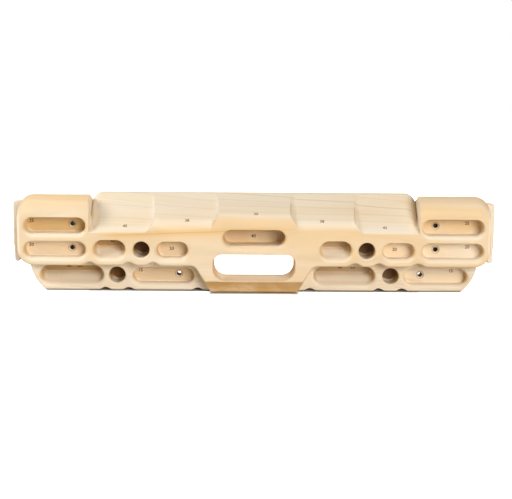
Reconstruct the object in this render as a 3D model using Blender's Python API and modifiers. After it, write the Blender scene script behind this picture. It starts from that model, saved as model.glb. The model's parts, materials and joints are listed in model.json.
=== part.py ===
"""Wooden training board for climbers' fingers.

Three boards of solid pale wood are glued face to face into one blank, and the blank is then routed from the
front: jugs at both ends, five sloping ledges between them, finger pockets in three rows, and a handle hole.
The lowest row is cut into the middle board, because the front board stops above it.

Metres, +Z up. X runs along the board, the front looks along -Y, and the origin lies on the ground under the
middle of the board. Depths are counted from the front face towards the wall.
"""
import math

import bmesh
import bpy
from mathutils import Matrix

# The blank
FRONT_THICKNESS = 0.022
MIDDLE_THICKNESS = 0.020
REAR_THICKNESS = 0.018
BOARD_HEIGHT = 0.140
FRONT_HALF_WIDTH = 0.337
MIDDLE_STEP = 0.007
REAR_STEP = 0.012
GLUE_LINE = 0.0003

BOARD_DEPTH = FRONT_THICKNESS + MIDDLE_THICKNESS + REAR_THICKNESS
REAR_FACE_DEPTH = FRONT_THICKNESS + MIDDLE_THICKNESS

# Lower edge of the front board, and the handle that hangs below it
FRONT_EDGE_HEIGHT = 0.0395
FRONT_CORNER_RADIUS = 0.024
FRONT_RIM = 0.003
HANDLE_FOOT_HALF_WIDTH = 0.061
SHOULDER_ANGLE = math.radians(59)
SHOULDER_RADIUS = 0.012
SCALLOP_HEIGHT = 0.0048
SCALLOP_HALF_WIDTH = 0.013
SCALLOP_STEPS = 3
FRONT_SCALLOPS = (0.1440, 0.1785, 0.2340)
FOOT_SCALLOPS = (0.0810, 0.1806, 0.2142)

# Lower part and ends of the middle and rear boards
LOWER_END_RADIUS = 0.060
LOWER_END_HALF_WIDTH = 0.3227
LOWER_END_CENTRE_HEIGHT = 0.048
LOWER_CORNER_START = -60
LOWER_CORNER_END = -30
BACK_RIM = 0.0015
TONGUE_WIDTH = 0.0075
TONGUE_FOOT_HEIGHT = 0.042
TONGUE_CLEARANCE = 0.002
EAR_FOOT_HEIGHT = 0.060
EAR_TOP_DROP = 0.0135
EAR_CORNER_RADIUS = 0.003

# Jugs at both ends, a little lower than the ledges between them
JUG_INNER = 0.235
JUG_CREST_DROP = 0.001
JUG_ROUND = 0.025
JUG_FALL_ANGLE = math.radians(17)
JUG_CORNER_RADIUS = 0.022
JUG_INNER_ARRIS = 0.002
JUG_SHOULDER_FALL = 0.010
EAR_BLEND_LENGTH = 0.025

# Sloping ledges: half-width of each from the middle outwards, its angle, and the length of its rounded lip
# down the front and up the slope
SLOPER_TOP_DEPTH = 0.052
SLOPER_CREST_RADIUS = 0.008
SLOPER_STEPS = (0.0507, 0.1423)
SLOPER_ANGLES = (math.radians(30), math.radians(38), math.radians(45))
SLOPER_LIPS = (0.012, 0.0124, 0.002)
STEP_FILLET = 0.009

# Groove between the last ledge and the jug: the ledge's end is rounded right up to the jug's wall
GROOVE_ROUND = 0.0165
GROOVE_FRONT_DROP = 0.053
GROOVE_BACK_DROP = 0.0125
GROOVE_START = JUG_INNER - GROOVE_ROUND

# Pockets: every finger pocket has the height of one cutter pass
POCKET_HEIGHT = 0.023
POCKET_LIP_TOP = 0.001
POCKET_LIP_BOTTOM = 0.008
POCKET_FLOOR_FILLET = 0.002
UPPER_ROW_HEIGHT = 0.0967
CENTRE_SLOT_HEIGHT = 0.0804
MIDDLE_ROW_HEIGHT = 0.0628
LOWER_ROW_HEIGHT = 0.0231
END_POCKET_PLACE = 0.2833
END_POCKET_LENGTH = 0.0871
UPPER_ROW_DEPTH = 0.025
MIDDLE_ROW_DEPTH = 0.020
OUTER_SMALL_PLACE = 0.2060
INNER_SMALL_PLACE = 0.1165
SMALL_POCKET_LENGTH = 0.0440
SMALL_FLAT_DEPTH = 0.020
CENTRE_SLOT_LENGTH = 0.088
CENTRE_SLOT_DEPTH = 0.040
LOWER_OUTER_PLACE = 0.2625
LOWER_OUTER_LENGTH = 0.0895
LOWER_INNER_PLACE = 0.1305
LOWER_INNER_LENGTH = 0.0870
LOWER_FLAT_DEPTH = 0.015

# Sloping pockets: deeper, a little taller, with a floor that rises towards the back
SLOPED_DEPTH = 0.030
SLOPED_EXTRA_HEIGHT = 0.002
SLOPED_ANGLE = math.radians(25)

# One-finger holes
MONO_DIAMETER = 0.0235
MONO_LIP_TOP = 0.001
MONO_LIP_BOTTOM = 0.003
MONO_FLOOR_FILLET = 0.004
UPPER_MONO_PLACE = 0.1606
UPPER_MONO_DEPTH = 0.040
LOWER_MONO_PLACE = 0.1973
LOWER_MONO_DEPTH = 0.030

# Handle hole and the cove cut under the handle
HANDLE_HALF_WIDTH = 0.0582
HANDLE_TOP = 0.0565
HANDLE_BAR_HEIGHT = 0.0185
HANDLE_LIP = 0.005
HANDLE_TOP_CORNER = 0.0125
HANDLE_LOW_CORNER = 0.0180
HANDLE_BACK_ROUND = 0.003
COVE_HEIGHT = 0.0180
COVE_DEPTH = 0.008
COVE_END_DEPTH = 0.003
COVE_FULL_HALF_WIDTH = 0.046
COVE_HALF_WIDTH = 0.080
COVE_EXIT_RISE = 0.0015

# Screw holes
SCREW_DIAMETER = 0.0065
COUNTERSINK_DIAMETER = 0.0107
END_SCREW_PLACE = 0.2610
LOWER_LEFT_SCREW_PLACE = -0.1089
LOWER_RIGHT_SCREW_PLACE = 0.2420

# How far a cutter runs past the wood it cuts, and how finely curves are divided
OVERCUT = 0.006
END_STEPS = 5
LIP_STEPS = 3
FLOOR_STEPS = 2
OUTLINE_STEPS = 6
RIM_STEPS = 2
EAR_STEPS = 3
TOP_LIP_STEPS = 7
ARRIS_STEPS = 2
CIRCLE_STEPS = 24
LIP_START = math.radians(8)
STATION_GAP = 0.00002
MERGE_DISTANCE = 0.00001
SAWN_HEIGHT = BOARD_HEIGHT + OVERCUT / 2
JUG_CREST_HEIGHT = BOARD_HEIGHT - JUG_CREST_DROP

WOOD_ROUGHNESS = 0.55


def clear_scene():
    """Empties the scene, so that the script builds the same model wherever it runs."""
    for old in list(bpy.data.objects):
        bpy.data.objects.remove(old, do_unlink=True)


def new_collection(name):
    """Makes a collection and links it to the scene."""
    made = bpy.data.collections.new(name)
    bpy.context.scene.collection.children.link(made)
    return made


def wood(name, colour):
    """Makes the plain material of one board."""
    made = bpy.data.materials.new(name)
    made.use_nodes = True
    shader = made.node_tree.nodes["Principled BSDF"]
    shader.inputs["Base Color"].default_value = (*colour, 1.0)
    shader.inputs["Roughness"].default_value = WOOD_ROUGHNESS
    shader.inputs["Metallic"].default_value = 0.0
    return made


def place(x, depth, z):
    """Turns a depth behind the front face into scene coordinates."""
    return (x, depth - BOARD_DEPTH / 2, z)


def object_from(mesh, name, collection):
    """Writes a bmesh into a new object of the collection."""
    bmesh.ops.recalc_face_normals(mesh, faces=mesh.faces)
    data = bpy.data.meshes.new(name)
    mesh.to_mesh(data)
    mesh.free()
    made = bpy.data.objects.new(name, data)
    collection.objects.link(made)
    return made


def loft(name, rings, collection):
    """Skins a closed solid over rings that have equally many points."""
    mesh = bmesh.new()
    loops = [[mesh.verts.new(point) for point in ring] for ring in rings]
    count = len(loops[0])
    for near, far in zip(loops, loops[1:]):
        for i in range(count):
            j = (i + 1) % count
            mesh.faces.new((near[i], near[j], far[j], far[i]))
    mesh.faces.new(loops[0])
    mesh.faces.new(loops[-1])
    return object_from(mesh, name, collection)


def arc(centre_x, centre_z, radius, start, end, steps):
    """Points on an arc in the board's face, with angles in degrees."""
    points = []
    for i in range(steps + 1):
        angle = math.radians(start + (end - start) * i / steps)
        points.append((centre_x + radius * math.cos(angle), centre_z + radius * math.sin(angle)))
    return points


def scallop(middle, base):
    """A smooth finger-wide hump in a lower edge."""
    points = []
    for i in range(-SCALLOP_STEPS, SCALLOP_STEPS + 1):
        share = i / SCALLOP_STEPS
        height = SCALLOP_HEIGHT * (1 + math.cos(math.pi * share)) / 2
        points.append((middle + SCALLOP_HALF_WIDTH * share, base + height))
    return points


def mirrored(half):
    """Closes the outline of a board from its right half, which starts and ends on the middle line."""
    left = [(-x, z) for x, z in reversed(half) if x > 0]
    return half + left


def front_outline():
    """Right half of the front board: handle foot, shoulder, scalloped edge, rounded corner."""
    rise = SHOULDER_RADIUS * math.tan(SHOULDER_ANGLE / 2)
    lean = 1 / math.tan(SHOULDER_ANGLE)
    angle = math.degrees(SHOULDER_ANGLE)
    foot = HANDLE_FOOT_HALF_WIDTH
    top_x = foot + FRONT_EDGE_HEIGHT * lean
    top_z = FRONT_EDGE_HEIGHT - SHOULDER_RADIUS
    half = [(0, 0)]
    half += arc(foot - rise, SHOULDER_RADIUS, SHOULDER_RADIUS, -90, angle - 90, OUTLINE_STEPS)
    half += arc(top_x + rise, top_z, SHOULDER_RADIUS, angle + 90, 90, OUTLINE_STEPS)
    for middle in FRONT_SCALLOPS:
        half += scallop(middle, FRONT_EDGE_HEIGHT)
    corner = FRONT_CORNER_RADIUS
    half += arc(FRONT_HALF_WIDTH - corner, FRONT_EDGE_HEIGHT + corner, corner, -90, 0, OUTLINE_STEPS + 2)
    half += [(FRONT_HALF_WIDTH, SAWN_HEIGHT), (0, SAWN_HEIGHT)]
    return half


def lower_end(inset):
    """Foot edge with its scallops and the long curve up the end of the lowest row, shared by two boards."""
    points = [(0, 0)]
    for middle in FOOT_SCALLOPS:
        points += scallop(middle, 0)
    centre_x = LOWER_END_HALF_WIDTH - LOWER_END_RADIUS
    start = -math.degrees(math.asin(LOWER_END_CENTRE_HEIGHT / LOWER_END_RADIUS))
    end = -math.degrees(math.asin((LOWER_END_CENTRE_HEIGHT - FRONT_EDGE_HEIGHT) / LOWER_END_RADIUS))
    points += arc(centre_x, LOWER_END_CENTRE_HEIGHT, LOWER_END_RADIUS, start, end, OUTLINE_STEPS)
    corner = FRONT_CORNER_RADIUS
    corner_x = FRONT_HALF_WIDTH - corner
    corner_z = FRONT_EDGE_HEIGHT + corner
    points += arc(corner_x, corner_z, corner - inset, LOWER_CORNER_START, LOWER_CORNER_END, EAR_STEPS)
    return points


def middle_outline():
    """Right half of the middle board: the lowest row, and the strip with a rounded foot at the end."""
    half = lower_end(TONGUE_CLEARANCE)
    side = FRONT_HALF_WIDTH + MIDDLE_STEP
    radius = TONGUE_WIDTH / 2
    centre_z = TONGUE_FOOT_HEIGHT + radius
    half.append((side - TONGUE_WIDTH, half[-1][1]))
    half += arc(side - radius, centre_z, radius, -180, 0, OUTLINE_STEPS)
    half += [(side, SAWN_HEIGHT), (0, SAWN_HEIGHT)]
    return half


def rear_outline():
    """Right half of the rear board: the lowest row, and the wide ear at the end."""
    half = lower_end(TONGUE_CLEARANCE + BACK_RIM)
    side = FRONT_HALF_WIDTH + REAR_STEP
    radius = EAR_CORNER_RADIUS
    inner = FRONT_HALF_WIDTH
    half += [(inner, half[-1][1] + radius), (inner, EAR_FOOT_HEIGHT)]
    half += arc(side - radius, EAR_FOOT_HEIGHT + radius, radius, -90, 0, EAR_STEPS)
    ear_top = BOARD_HEIGHT - EAR_TOP_DROP
    half += arc(side - radius, ear_top - radius, radius, 0, 90, EAR_STEPS)
    blend_end = FRONT_HALF_WIDTH - JUG_CORNER_RADIUS
    half += [(blend_end, ear_top), (blend_end - EAR_BLEND_LENGTH, SAWN_HEIGHT), (0, SAWN_HEIGHT)]
    return half


def board(name, half_outline, near, thickness, rim, collection):
    """Saws a board from the right half of its outline and rounds the edge of its front."""
    mesh = bmesh.new()
    corners = [mesh.verts.new(place(x, near, z)) for x, z in mirrored(half_outline)]
    face = mesh.faces.new(corners)
    grown = bmesh.ops.extrude_face_region(mesh, geom=[face])
    moved = [item for item in grown["geom"] if isinstance(item, bmesh.types.BMVert)]
    bmesh.ops.translate(mesh, verts=moved, vec=(0, thickness, 0))
    bmesh.ops.dissolve_degenerate(mesh, dist=MERGE_DISTANCE, edges=mesh.edges)
    front_y = place(0, near, 0)[1]
    in_front = {v for v in mesh.verts if abs(v.co.y - front_y) < MERGE_DISTANCE}
    rim_edges = [e for e in mesh.edges if in_front.issuperset(e.verts)]
    bmesh.ops.bevel(mesh, geom=rim_edges, offset=rim, segments=RIM_STEPS, profile=0.5, affect="EDGES",
                    clamp_overlap=True)
    return object_from(mesh, name, collection)


def sloper_height(index, depth):
    """Height of a sloping ledge at a depth: rounded lip, straight slope, rounded crest, flat top."""
    angle = SLOPER_ANGLES[index]
    lip = SLOPER_LIPS[index]
    front_corner = BOARD_HEIGHT - SLOPER_TOP_DEPTH * math.tan(angle)
    radius = lip / math.tan((math.pi / 2 - angle) / 2)
    if depth < lip * math.cos(angle):
        return front_corner - lip + math.sqrt(max(0.0, radius**2 - (radius - depth) ** 2))
    crest = SLOPER_CREST_RADIUS
    reach = crest * math.tan(angle / 2)
    if depth > SLOPER_TOP_DEPTH + reach:
        return BOARD_HEIGHT
    if depth > SLOPER_TOP_DEPTH - reach * math.cos(angle):
        past = SLOPER_TOP_DEPTH + reach - depth
        return BOARD_HEIGHT - crest + math.sqrt(crest**2 - past**2)
    return front_corner + depth * math.tan(angle)


def jug_height(depth):
    """Height of a jug at a depth: round over the front, over the crest, and down towards the wall."""
    if depth < JUG_ROUND:
        return JUG_CREST_HEIGHT - JUG_ROUND + math.sqrt(JUG_ROUND**2 - (JUG_ROUND - depth) ** 2)
    past = depth - JUG_ROUND
    turn = JUG_ROUND * math.sin(JUG_FALL_ANGLE)
    if past < turn:
        return JUG_CREST_HEIGHT - JUG_ROUND + math.sqrt(JUG_ROUND**2 - past**2)
    fall = JUG_ROUND * (1 - math.cos(JUG_FALL_ANGLE))
    return JUG_CREST_HEIGHT - fall - (past - turn) * math.tan(JUG_FALL_ANGLE)


def round_fall(radius, run):
    """How far a round of the given radius has fallen after a run from its top."""
    return radius - math.sqrt(max(0.0, radius**2 - min(run, radius) ** 2))


def ledge(index, run):
    """Section of a ledge; run is the distance from its inner wall, in whose fillet the ledge climbs."""

    def height(depth):
        own = sloper_height(index, depth)
        if index == 0 or run >= STEP_FILLET:
            return own
        climb = round_fall(STEP_FILLET, STEP_FILLET - run)
        return min(sloper_height(index - 1, depth), own + climb)

    return height


def groove(x):
    """Section of the rounded end of the last ledge and the groove beside the jug."""

    def height(depth):
        end = sloper_height(len(SLOPER_ANGLES) - 1, depth) - round_fall(GROOVE_ROUND, x - GROOVE_START)
        drop = GROOVE_FRONT_DROP + (GROOVE_BACK_DROP - GROOVE_FRONT_DROP) * depth / BOARD_DEPTH
        own = sloper_height(len(SLOPER_ANGLES) - 1, depth)
        return min(own, max(BOARD_HEIGHT - drop, end))

    return height


def jug(fall):
    """Section of a jug, lowered by the fall of its rounded inner or outer corner."""
    return lambda depth: jug_height(depth) - fall


def top_stations(rounded_end):
    """Places along X with the section of the board's top at each, from the middle to the right end."""
    stations = [(0.0, ledge(0, 0.0))]
    for index, step in enumerate(SLOPER_STEPS, start=1):
        stations.append((step - STATION_GAP, ledge(index - 1, STEP_FILLET)))
        for i in range(END_STEPS):
            run = STEP_FILLET * (1 - math.cos(math.pi / 2 * i / (END_STEPS - 1)))
            stations.append((step + run, ledge(index, run)))
    for i in range(END_STEPS):
        x = GROOVE_START + GROOVE_ROUND * math.sin(math.pi / 2 * i / END_STEPS)
        stations.append((x, groove(x)))
    stations.append((JUG_INNER - STATION_GAP, groove(JUG_INNER)))
    for i in range(ARRIS_STEPS + 1):
        angle = math.pi / 2 * i / ARRIS_STEPS
        x = JUG_INNER + JUG_INNER_ARRIS * (1 - math.cos(angle))
        stations.append((x, jug(JUG_INNER_ARRIS * (1 - math.sin(angle)))))
    if not rounded_end:
        stations.append((FRONT_HALF_WIDTH + REAR_STEP + OVERCUT, jug(0.0)))
        return stations
    for i in range(END_STEPS + 1):
        angle = math.pi / 2 * i / END_STEPS
        x = FRONT_HALF_WIDTH - JUG_CORNER_RADIUS * (1 - math.sin(angle))
        stations.append((x, jug(JUG_CORNER_RADIUS * (1 - math.cos(angle)))))
    stations.append((FRONT_HALF_WIDTH + MIDDLE_STEP + OVERCUT, jug(JUG_CORNER_RADIUS + JUG_SHOULDER_FALL)))
    return stations


def top_depths():
    """Depths at which the top is sampled: close together at the lips, wider on the straight slopes."""
    lips = [JUG_ROUND * (1 - math.cos(math.pi / 2 * i / TOP_LIP_STEPS)) for i in range(TOP_LIP_STEPS + 1)]
    turn = JUG_ROUND * (1 + math.sin(JUG_FALL_ANGLE))
    reach = SLOPER_CREST_RADIUS * math.tan(SLOPER_ANGLES[-1] / 2)
    crest = [SLOPER_TOP_DEPTH + reach * share for share in (-3, -1, 0, 1)]
    return [*lips, turn, *crest, BOARD_DEPTH]


def top_cutter(name, rounded_end, collection):
    """Solid of all that is routed off the top of the blank."""
    right = top_stations(rounded_end)
    left = [(-x, section) for x, section in reversed(right[1:])]
    depths = top_depths()
    roof = BOARD_HEIGHT + OVERCUT
    rings = []
    for x, section in left + right:
        ring = [place(x, -OVERCUT, section(0.0))]
        ring += [place(x, depth, section(depth)) for depth in depths]
        ring.append(place(x, BOARD_DEPTH + OVERCUT, section(BOARD_DEPTH)))
        ring += [place(x, BOARD_DEPTH + OVERCUT, roof), place(x, -OVERCUT, roof)]
        rings.append(ring)
    return loft(name, rings, collection)


def mouth(half_length, low, high, low_corner, high_corner, steps):
    """Rounded outline of a pocket, each point with the direction in which its wall faces the wood."""
    corners = (
        (half_length - low_corner, low + low_corner, low_corner, -90),
        (half_length - high_corner, high - high_corner, high_corner, 0),
        (high_corner - half_length, high - high_corner, high_corner, 90),
        (low_corner - half_length, low + low_corner, low_corner, 180),
    )
    points = []
    for centre_x, centre_z, radius, start in corners:
        for i in range(steps + 1):
            angle = math.radians(start + 90 * i / steps)
            spot = (centre_x + radius * math.cos(angle), centre_z + radius * math.sin(angle))
            if points and math.dist(points[-1][:2], spot) < MERGE_DISTANCE:
                continue
            points.append((*spot, math.cos(angle), math.sin(angle)))
    if math.dist(points[0][:2], points[-1][:2]) < MERGE_DISTANCE:
        points.pop()
    return points


def lip_rings(x, face_depth, outline, lip_top, lip_bottom, floor_angle):
    """Rings of a pocket's rounded lip, wide below and narrow above, starting outside the wood."""
    rings = []
    for k in range(-1, LIP_STEPS + 1):
        ring = []
        for px, pz, nx, nz in outline:
            lip = lip_top + (lip_bottom - lip_top) * (1 - nz) / 2
            last = math.pi / 2 - floor_angle * max(0.0, -nz)
            angle = LIP_START + (last - LIP_START) * max(0, k) / LIP_STEPS
            spread = lip * (1 - math.sin(angle))
            depth = lip * (1 - math.cos(angle)) if k >= 0 else -OVERCUT
            ring.append(place(x + px + nx * spread, face_depth + depth, pz + nz * spread))
        rings.append(ring)
    return rings


def floor_rings(x, floor_depth, outline, fillet):
    """Rings of the fillet around a pocket's flat floor."""
    rings = []
    for k in range(FLOOR_STEPS + 1):
        angle = math.pi / 2 * k / FLOOR_STEPS
        inset = fillet * (1 - math.cos(angle))
        depth = floor_depth - fillet * (1 - math.sin(angle))
        rings.append([place(x + px - nx * inset, depth, pz - nz * inset) for px, pz, nx, nz in outline])
    return rings


def flat_pocket(name, x, z, length, face_depth, depth, collection):
    """Finger pocket with round ends and a level floor."""
    radius = POCKET_HEIGHT / 2
    outline = mouth(length / 2, z - radius, z + radius, radius, radius, END_STEPS)
    rings = lip_rings(x, face_depth, outline, POCKET_LIP_TOP, POCKET_LIP_BOTTOM, 0.0)
    rings += floor_rings(x, face_depth + depth, outline, POCKET_FLOOR_FILLET)
    return loft(name, rings, collection)


def sloped_pocket(name, x, z, length, face_depth, collection):
    """Finger pocket whose lower side rises towards the back."""
    low = z - POCKET_HEIGHT / 2
    high = z + POCKET_HEIGHT / 2 + SLOPED_EXTRA_HEIGHT
    radius = (high - low) / 2
    outline = mouth(length / 2, low, high, radius, radius, END_STEPS)
    rings = lip_rings(x, face_depth, outline, POCKET_LIP_TOP, POCKET_LIP_BOTTOM, SLOPED_ANGLE)
    lip_end = POCKET_LIP_BOTTOM * (1 - math.sin(SLOPED_ANGLE))
    back_low = low + (SLOPED_DEPTH - lip_end) * math.tan(SLOPED_ANGLE)
    back_radius = (high - back_low) / 2
    back = mouth(length / 2, back_low, high, back_radius, back_radius, END_STEPS)
    rings += floor_rings(x, face_depth + SLOPED_DEPTH, back, POCKET_FLOOR_FILLET)
    return loft(name, rings, collection)


def mono(name, x, z, face_depth, depth, collection):
    """Round hole for one finger."""
    radius = MONO_DIAMETER / 2
    outline = mouth(radius, z - radius, z + radius, radius, radius, END_STEPS)
    rings = lip_rings(x, face_depth, outline, MONO_LIP_TOP, MONO_LIP_BOTTOM, 0.0)
    rings += floor_rings(x, face_depth + depth, outline, MONO_FLOOR_FILLET)
    return loft(name, rings, collection)


def handle_hole(collection):
    """Hole right through the blank, rounded towards the hand at the front and a little at the back."""
    corners = (HANDLE_LOW_CORNER, HANDLE_TOP_CORNER)
    outline = mouth(HANDLE_HALF_WIDTH, HANDLE_BAR_HEIGHT, HANDLE_TOP, *corners, END_STEPS)
    rings = lip_rings(0.0, 0.0, outline, POCKET_LIP_TOP, HANDLE_LIP, 0.0)
    for k in range(LIP_STEPS - 1, -1, -1):
        angle = LIP_START + (math.pi / 2 - LIP_START) * k / (LIP_STEPS - 1)
        spread = HANDLE_BACK_ROUND * (1 - math.sin(angle))
        depth = BOARD_DEPTH - HANDLE_BACK_ROUND * (1 - math.cos(angle))
        rings.append([place(px + nx * spread, depth, pz + nz * spread) for px, pz, nx, nz in outline])
    rings.append([(px, py + OVERCUT, pz) for px, py, pz in rings[-1]])
    return loft("handle_hole_cutter", rings, collection)


def cove_ring(x, depth):
    """Section of the cove at one place: an arc from the handle's nose down and back to the foot."""
    radius = (depth**2 + COVE_HEIGHT**2) / (2 * depth)
    top = math.asin(COVE_HEIGHT / radius)
    ring = [place(x, -OVERCUT, -OVERCUT), place(x, depth, -OVERCUT)]
    for i in range(END_STEPS + 1):
        angle = top * i / END_STEPS
        ring.append(place(x, depth - radius * (1 - math.cos(angle)), radius * math.sin(angle)))
    ring.append(place(x, -OVERCUT, COVE_HEIGHT + COVE_EXIT_RISE))
    return ring


def handle_cove(collection):
    """Cove along the lower front of the handle, shallower towards its ends."""
    stations = (
        (-COVE_HALF_WIDTH, COVE_END_DEPTH),
        (-COVE_FULL_HALF_WIDTH, COVE_DEPTH),
        (COVE_FULL_HALF_WIDTH, COVE_DEPTH),
        (COVE_HALF_WIDTH, COVE_END_DEPTH),
    )
    return loft("handle_cove_cutter", [cove_ring(x, depth) for x, depth in stations], collection)


def screw_hole(name, x, z, floor_depth, collection):
    """Countersunk hole from a pocket's floor out through the back, as a turned profile."""
    bore = SCREW_DIAMETER / 2
    sink = COUNTERSINK_DIAMETER / 2
    start = -POCKET_FLOOR_FILLET
    end = BOARD_DEPTH - floor_depth + OVERCUT
    profile = [(0.0, end), (bore, end), (bore, sink - bore), (sink - start, start), (0.0, start)]
    mesh = bmesh.new()
    spots = [mesh.verts.new((radius, 0.0, depth)) for radius, depth in profile]
    for near, far in zip(spots, spots[1:]):
        mesh.edges.new((near, far))
    data = bpy.data.meshes.new(name)
    mesh.to_mesh(data)
    mesh.free()
    made = bpy.data.objects.new(name, data)
    collection.objects.link(made)
    turn = made.modifiers.new("turn", "SCREW")
    turn.axis = "Z"
    turn.steps = CIRCLE_STEPS
    turn.render_steps = CIRCLE_STEPS
    turn.merge_threshold = MERGE_DISTANCE
    turn.use_merge_vertices = True
    made.matrix_world = Matrix.Translation(place(x, floor_depth, z)) @ Matrix.Rotation(-math.pi / 2, 4, "X")
    return made


def half_cutters(side, tag, collection):
    """Cutters of one half. In both halves the sloped pockets lie to the left of the flat ones."""
    recess = FRONT_THICKNESS
    small_sloped = -OUTER_SMALL_PLACE if side < 0 else INNER_SMALL_PLACE
    small_flat = -INNER_SMALL_PLACE if side < 0 else OUTER_SMALL_PLACE
    outer = (side * LOWER_OUTER_PLACE, LOWER_OUTER_LENGTH)
    inner = (side * LOWER_INNER_PLACE, LOWER_INNER_LENGTH)
    sloped, flat = (outer, inner) if side < 0 else (inner, outer)
    lower_screw = LOWER_LEFT_SCREW_PLACE if side < 0 else LOWER_RIGHT_SCREW_PLACE

    flat_pockets = (
        ("upper", side * END_POCKET_PLACE, UPPER_ROW_HEIGHT, END_POCKET_LENGTH, 0.0, UPPER_ROW_DEPTH),
        ("middle", side * END_POCKET_PLACE, MIDDLE_ROW_HEIGHT, END_POCKET_LENGTH, 0.0, MIDDLE_ROW_DEPTH),
        ("small_flat", small_flat, MIDDLE_ROW_HEIGHT, SMALL_POCKET_LENGTH, 0.0, SMALL_FLAT_DEPTH),
        ("lower_flat", flat[0], LOWER_ROW_HEIGHT, flat[1], recess, LOWER_FLAT_DEPTH),
    )
    sloped_pockets = (
        ("small_sloped", small_sloped, MIDDLE_ROW_HEIGHT, SMALL_POCKET_LENGTH, 0.0),
        ("lower_sloped", sloped[0], LOWER_ROW_HEIGHT, sloped[1], recess),
    )
    monos = (
        ("upper_mono", side * UPPER_MONO_PLACE, MIDDLE_ROW_HEIGHT, 0.0, UPPER_MONO_DEPTH),
        ("lower_mono", side * LOWER_MONO_PLACE, LOWER_ROW_HEIGHT, recess, LOWER_MONO_DEPTH),
    )
    screws = (
        ("upper_screw", side * END_SCREW_PLACE, UPPER_ROW_HEIGHT, UPPER_ROW_DEPTH),
        ("middle_screw", side * END_SCREW_PLACE, MIDDLE_ROW_HEIGHT, MIDDLE_ROW_DEPTH),
        ("lower_screw", lower_screw, LOWER_ROW_HEIGHT, recess + LOWER_FLAT_DEPTH),
    )
    cutters = [flat_pocket(f"{name}_{tag}_cutter", *sizes, collection) for name, *sizes in flat_pockets]
    cutters += [sloped_pocket(f"{name}_{tag}_cutter", *sizes, collection) for name, *sizes in sloped_pockets]
    cutters += [mono(f"{name}_{tag}_cutter", *sizes, collection) for name, *sizes in monos]
    cutters += [screw_hole(f"{name}_{tag}_cutter", *sizes, collection) for name, *sizes in screws]
    return cutters


def pocket_cutters(collection):
    """Every pocket and hole that is cut from the front, in both halves and in the middle."""
    cutters = half_cutters(-1, "left", collection) + half_cutters(1, "right", collection)
    slot = (CENTRE_SLOT_HEIGHT, CENTRE_SLOT_LENGTH, 0.0, CENTRE_SLOT_DEPTH)
    cutters.append(flat_pocket("centre_slot_cutter", 0.0, *slot, collection))
    cutters.append(handle_hole(collection))
    cutters.append(handle_cove(collection))
    return cutters


def rout(target, cutters):
    """Cuts a board with all the cutters at once."""
    tools = new_collection(f"{target.name}_cutters")
    for cutter in cutters:
        tools.objects.link(cutter)
    cut = target.modifiers.new("rout", "BOOLEAN")
    cut.operation = "DIFFERENCE"
    cut.solver = "EXACT"
    cut.operand_type = "COLLECTION"
    cut.collection = tools


def build():
    """Builds the board."""
    clear_scene()
    parts = new_collection("hangboard")
    guides = new_collection("cutters")
    pockets = pocket_cutters(guides)
    rounded_top = top_cutter("rounded_top_cutter", True, guides)
    wide_top = top_cutter("wide_top_cutter", False, guides)

    front = board("front_board", front_outline(), 0.0, FRONT_THICKNESS - GLUE_LINE, FRONT_RIM, parts)
    front.data.materials.append(wood("front_wood", (0.80, 0.60, 0.38)))
    rout(front, [rounded_top, *pockets])

    thickness = MIDDLE_THICKNESS - GLUE_LINE
    middle = board("middle_board", middle_outline(), FRONT_THICKNESS, thickness, BACK_RIM, parts)
    middle.data.materials.append(wood("middle_wood", (0.76, 0.56, 0.35)))
    rout(middle, [rounded_top, *pockets])

    rear = board("rear_board", rear_outline(), REAR_FACE_DEPTH, REAR_THICKNESS, BACK_RIM, parts)
    rear.data.materials.append(wood("rear_wood", (0.78, 0.58, 0.36)))
    rout(rear, [wide_top, *pockets])

    for guide in guides.objects:
        guide.hide_render = True
        guide.display_type = "WIRE"


build()
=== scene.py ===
# %% [markdown]
# The hangboard is a block of pale wood that climbers hang from by their fingers. Three boards are glued face
# to face, and a router then cuts everything else from the front: a jug at each end, five sloping ledges
# between them, finger pockets in three rows and a handle hole. This script gives those boards their rounded
# lips, their grain and the light of a studio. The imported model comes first, because it fixes every size.

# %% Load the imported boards
import json
import math

import bmesh
import bpy
from mathutils import Matrix, Vector
from mathutils.bvhtree import BVHTree

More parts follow.
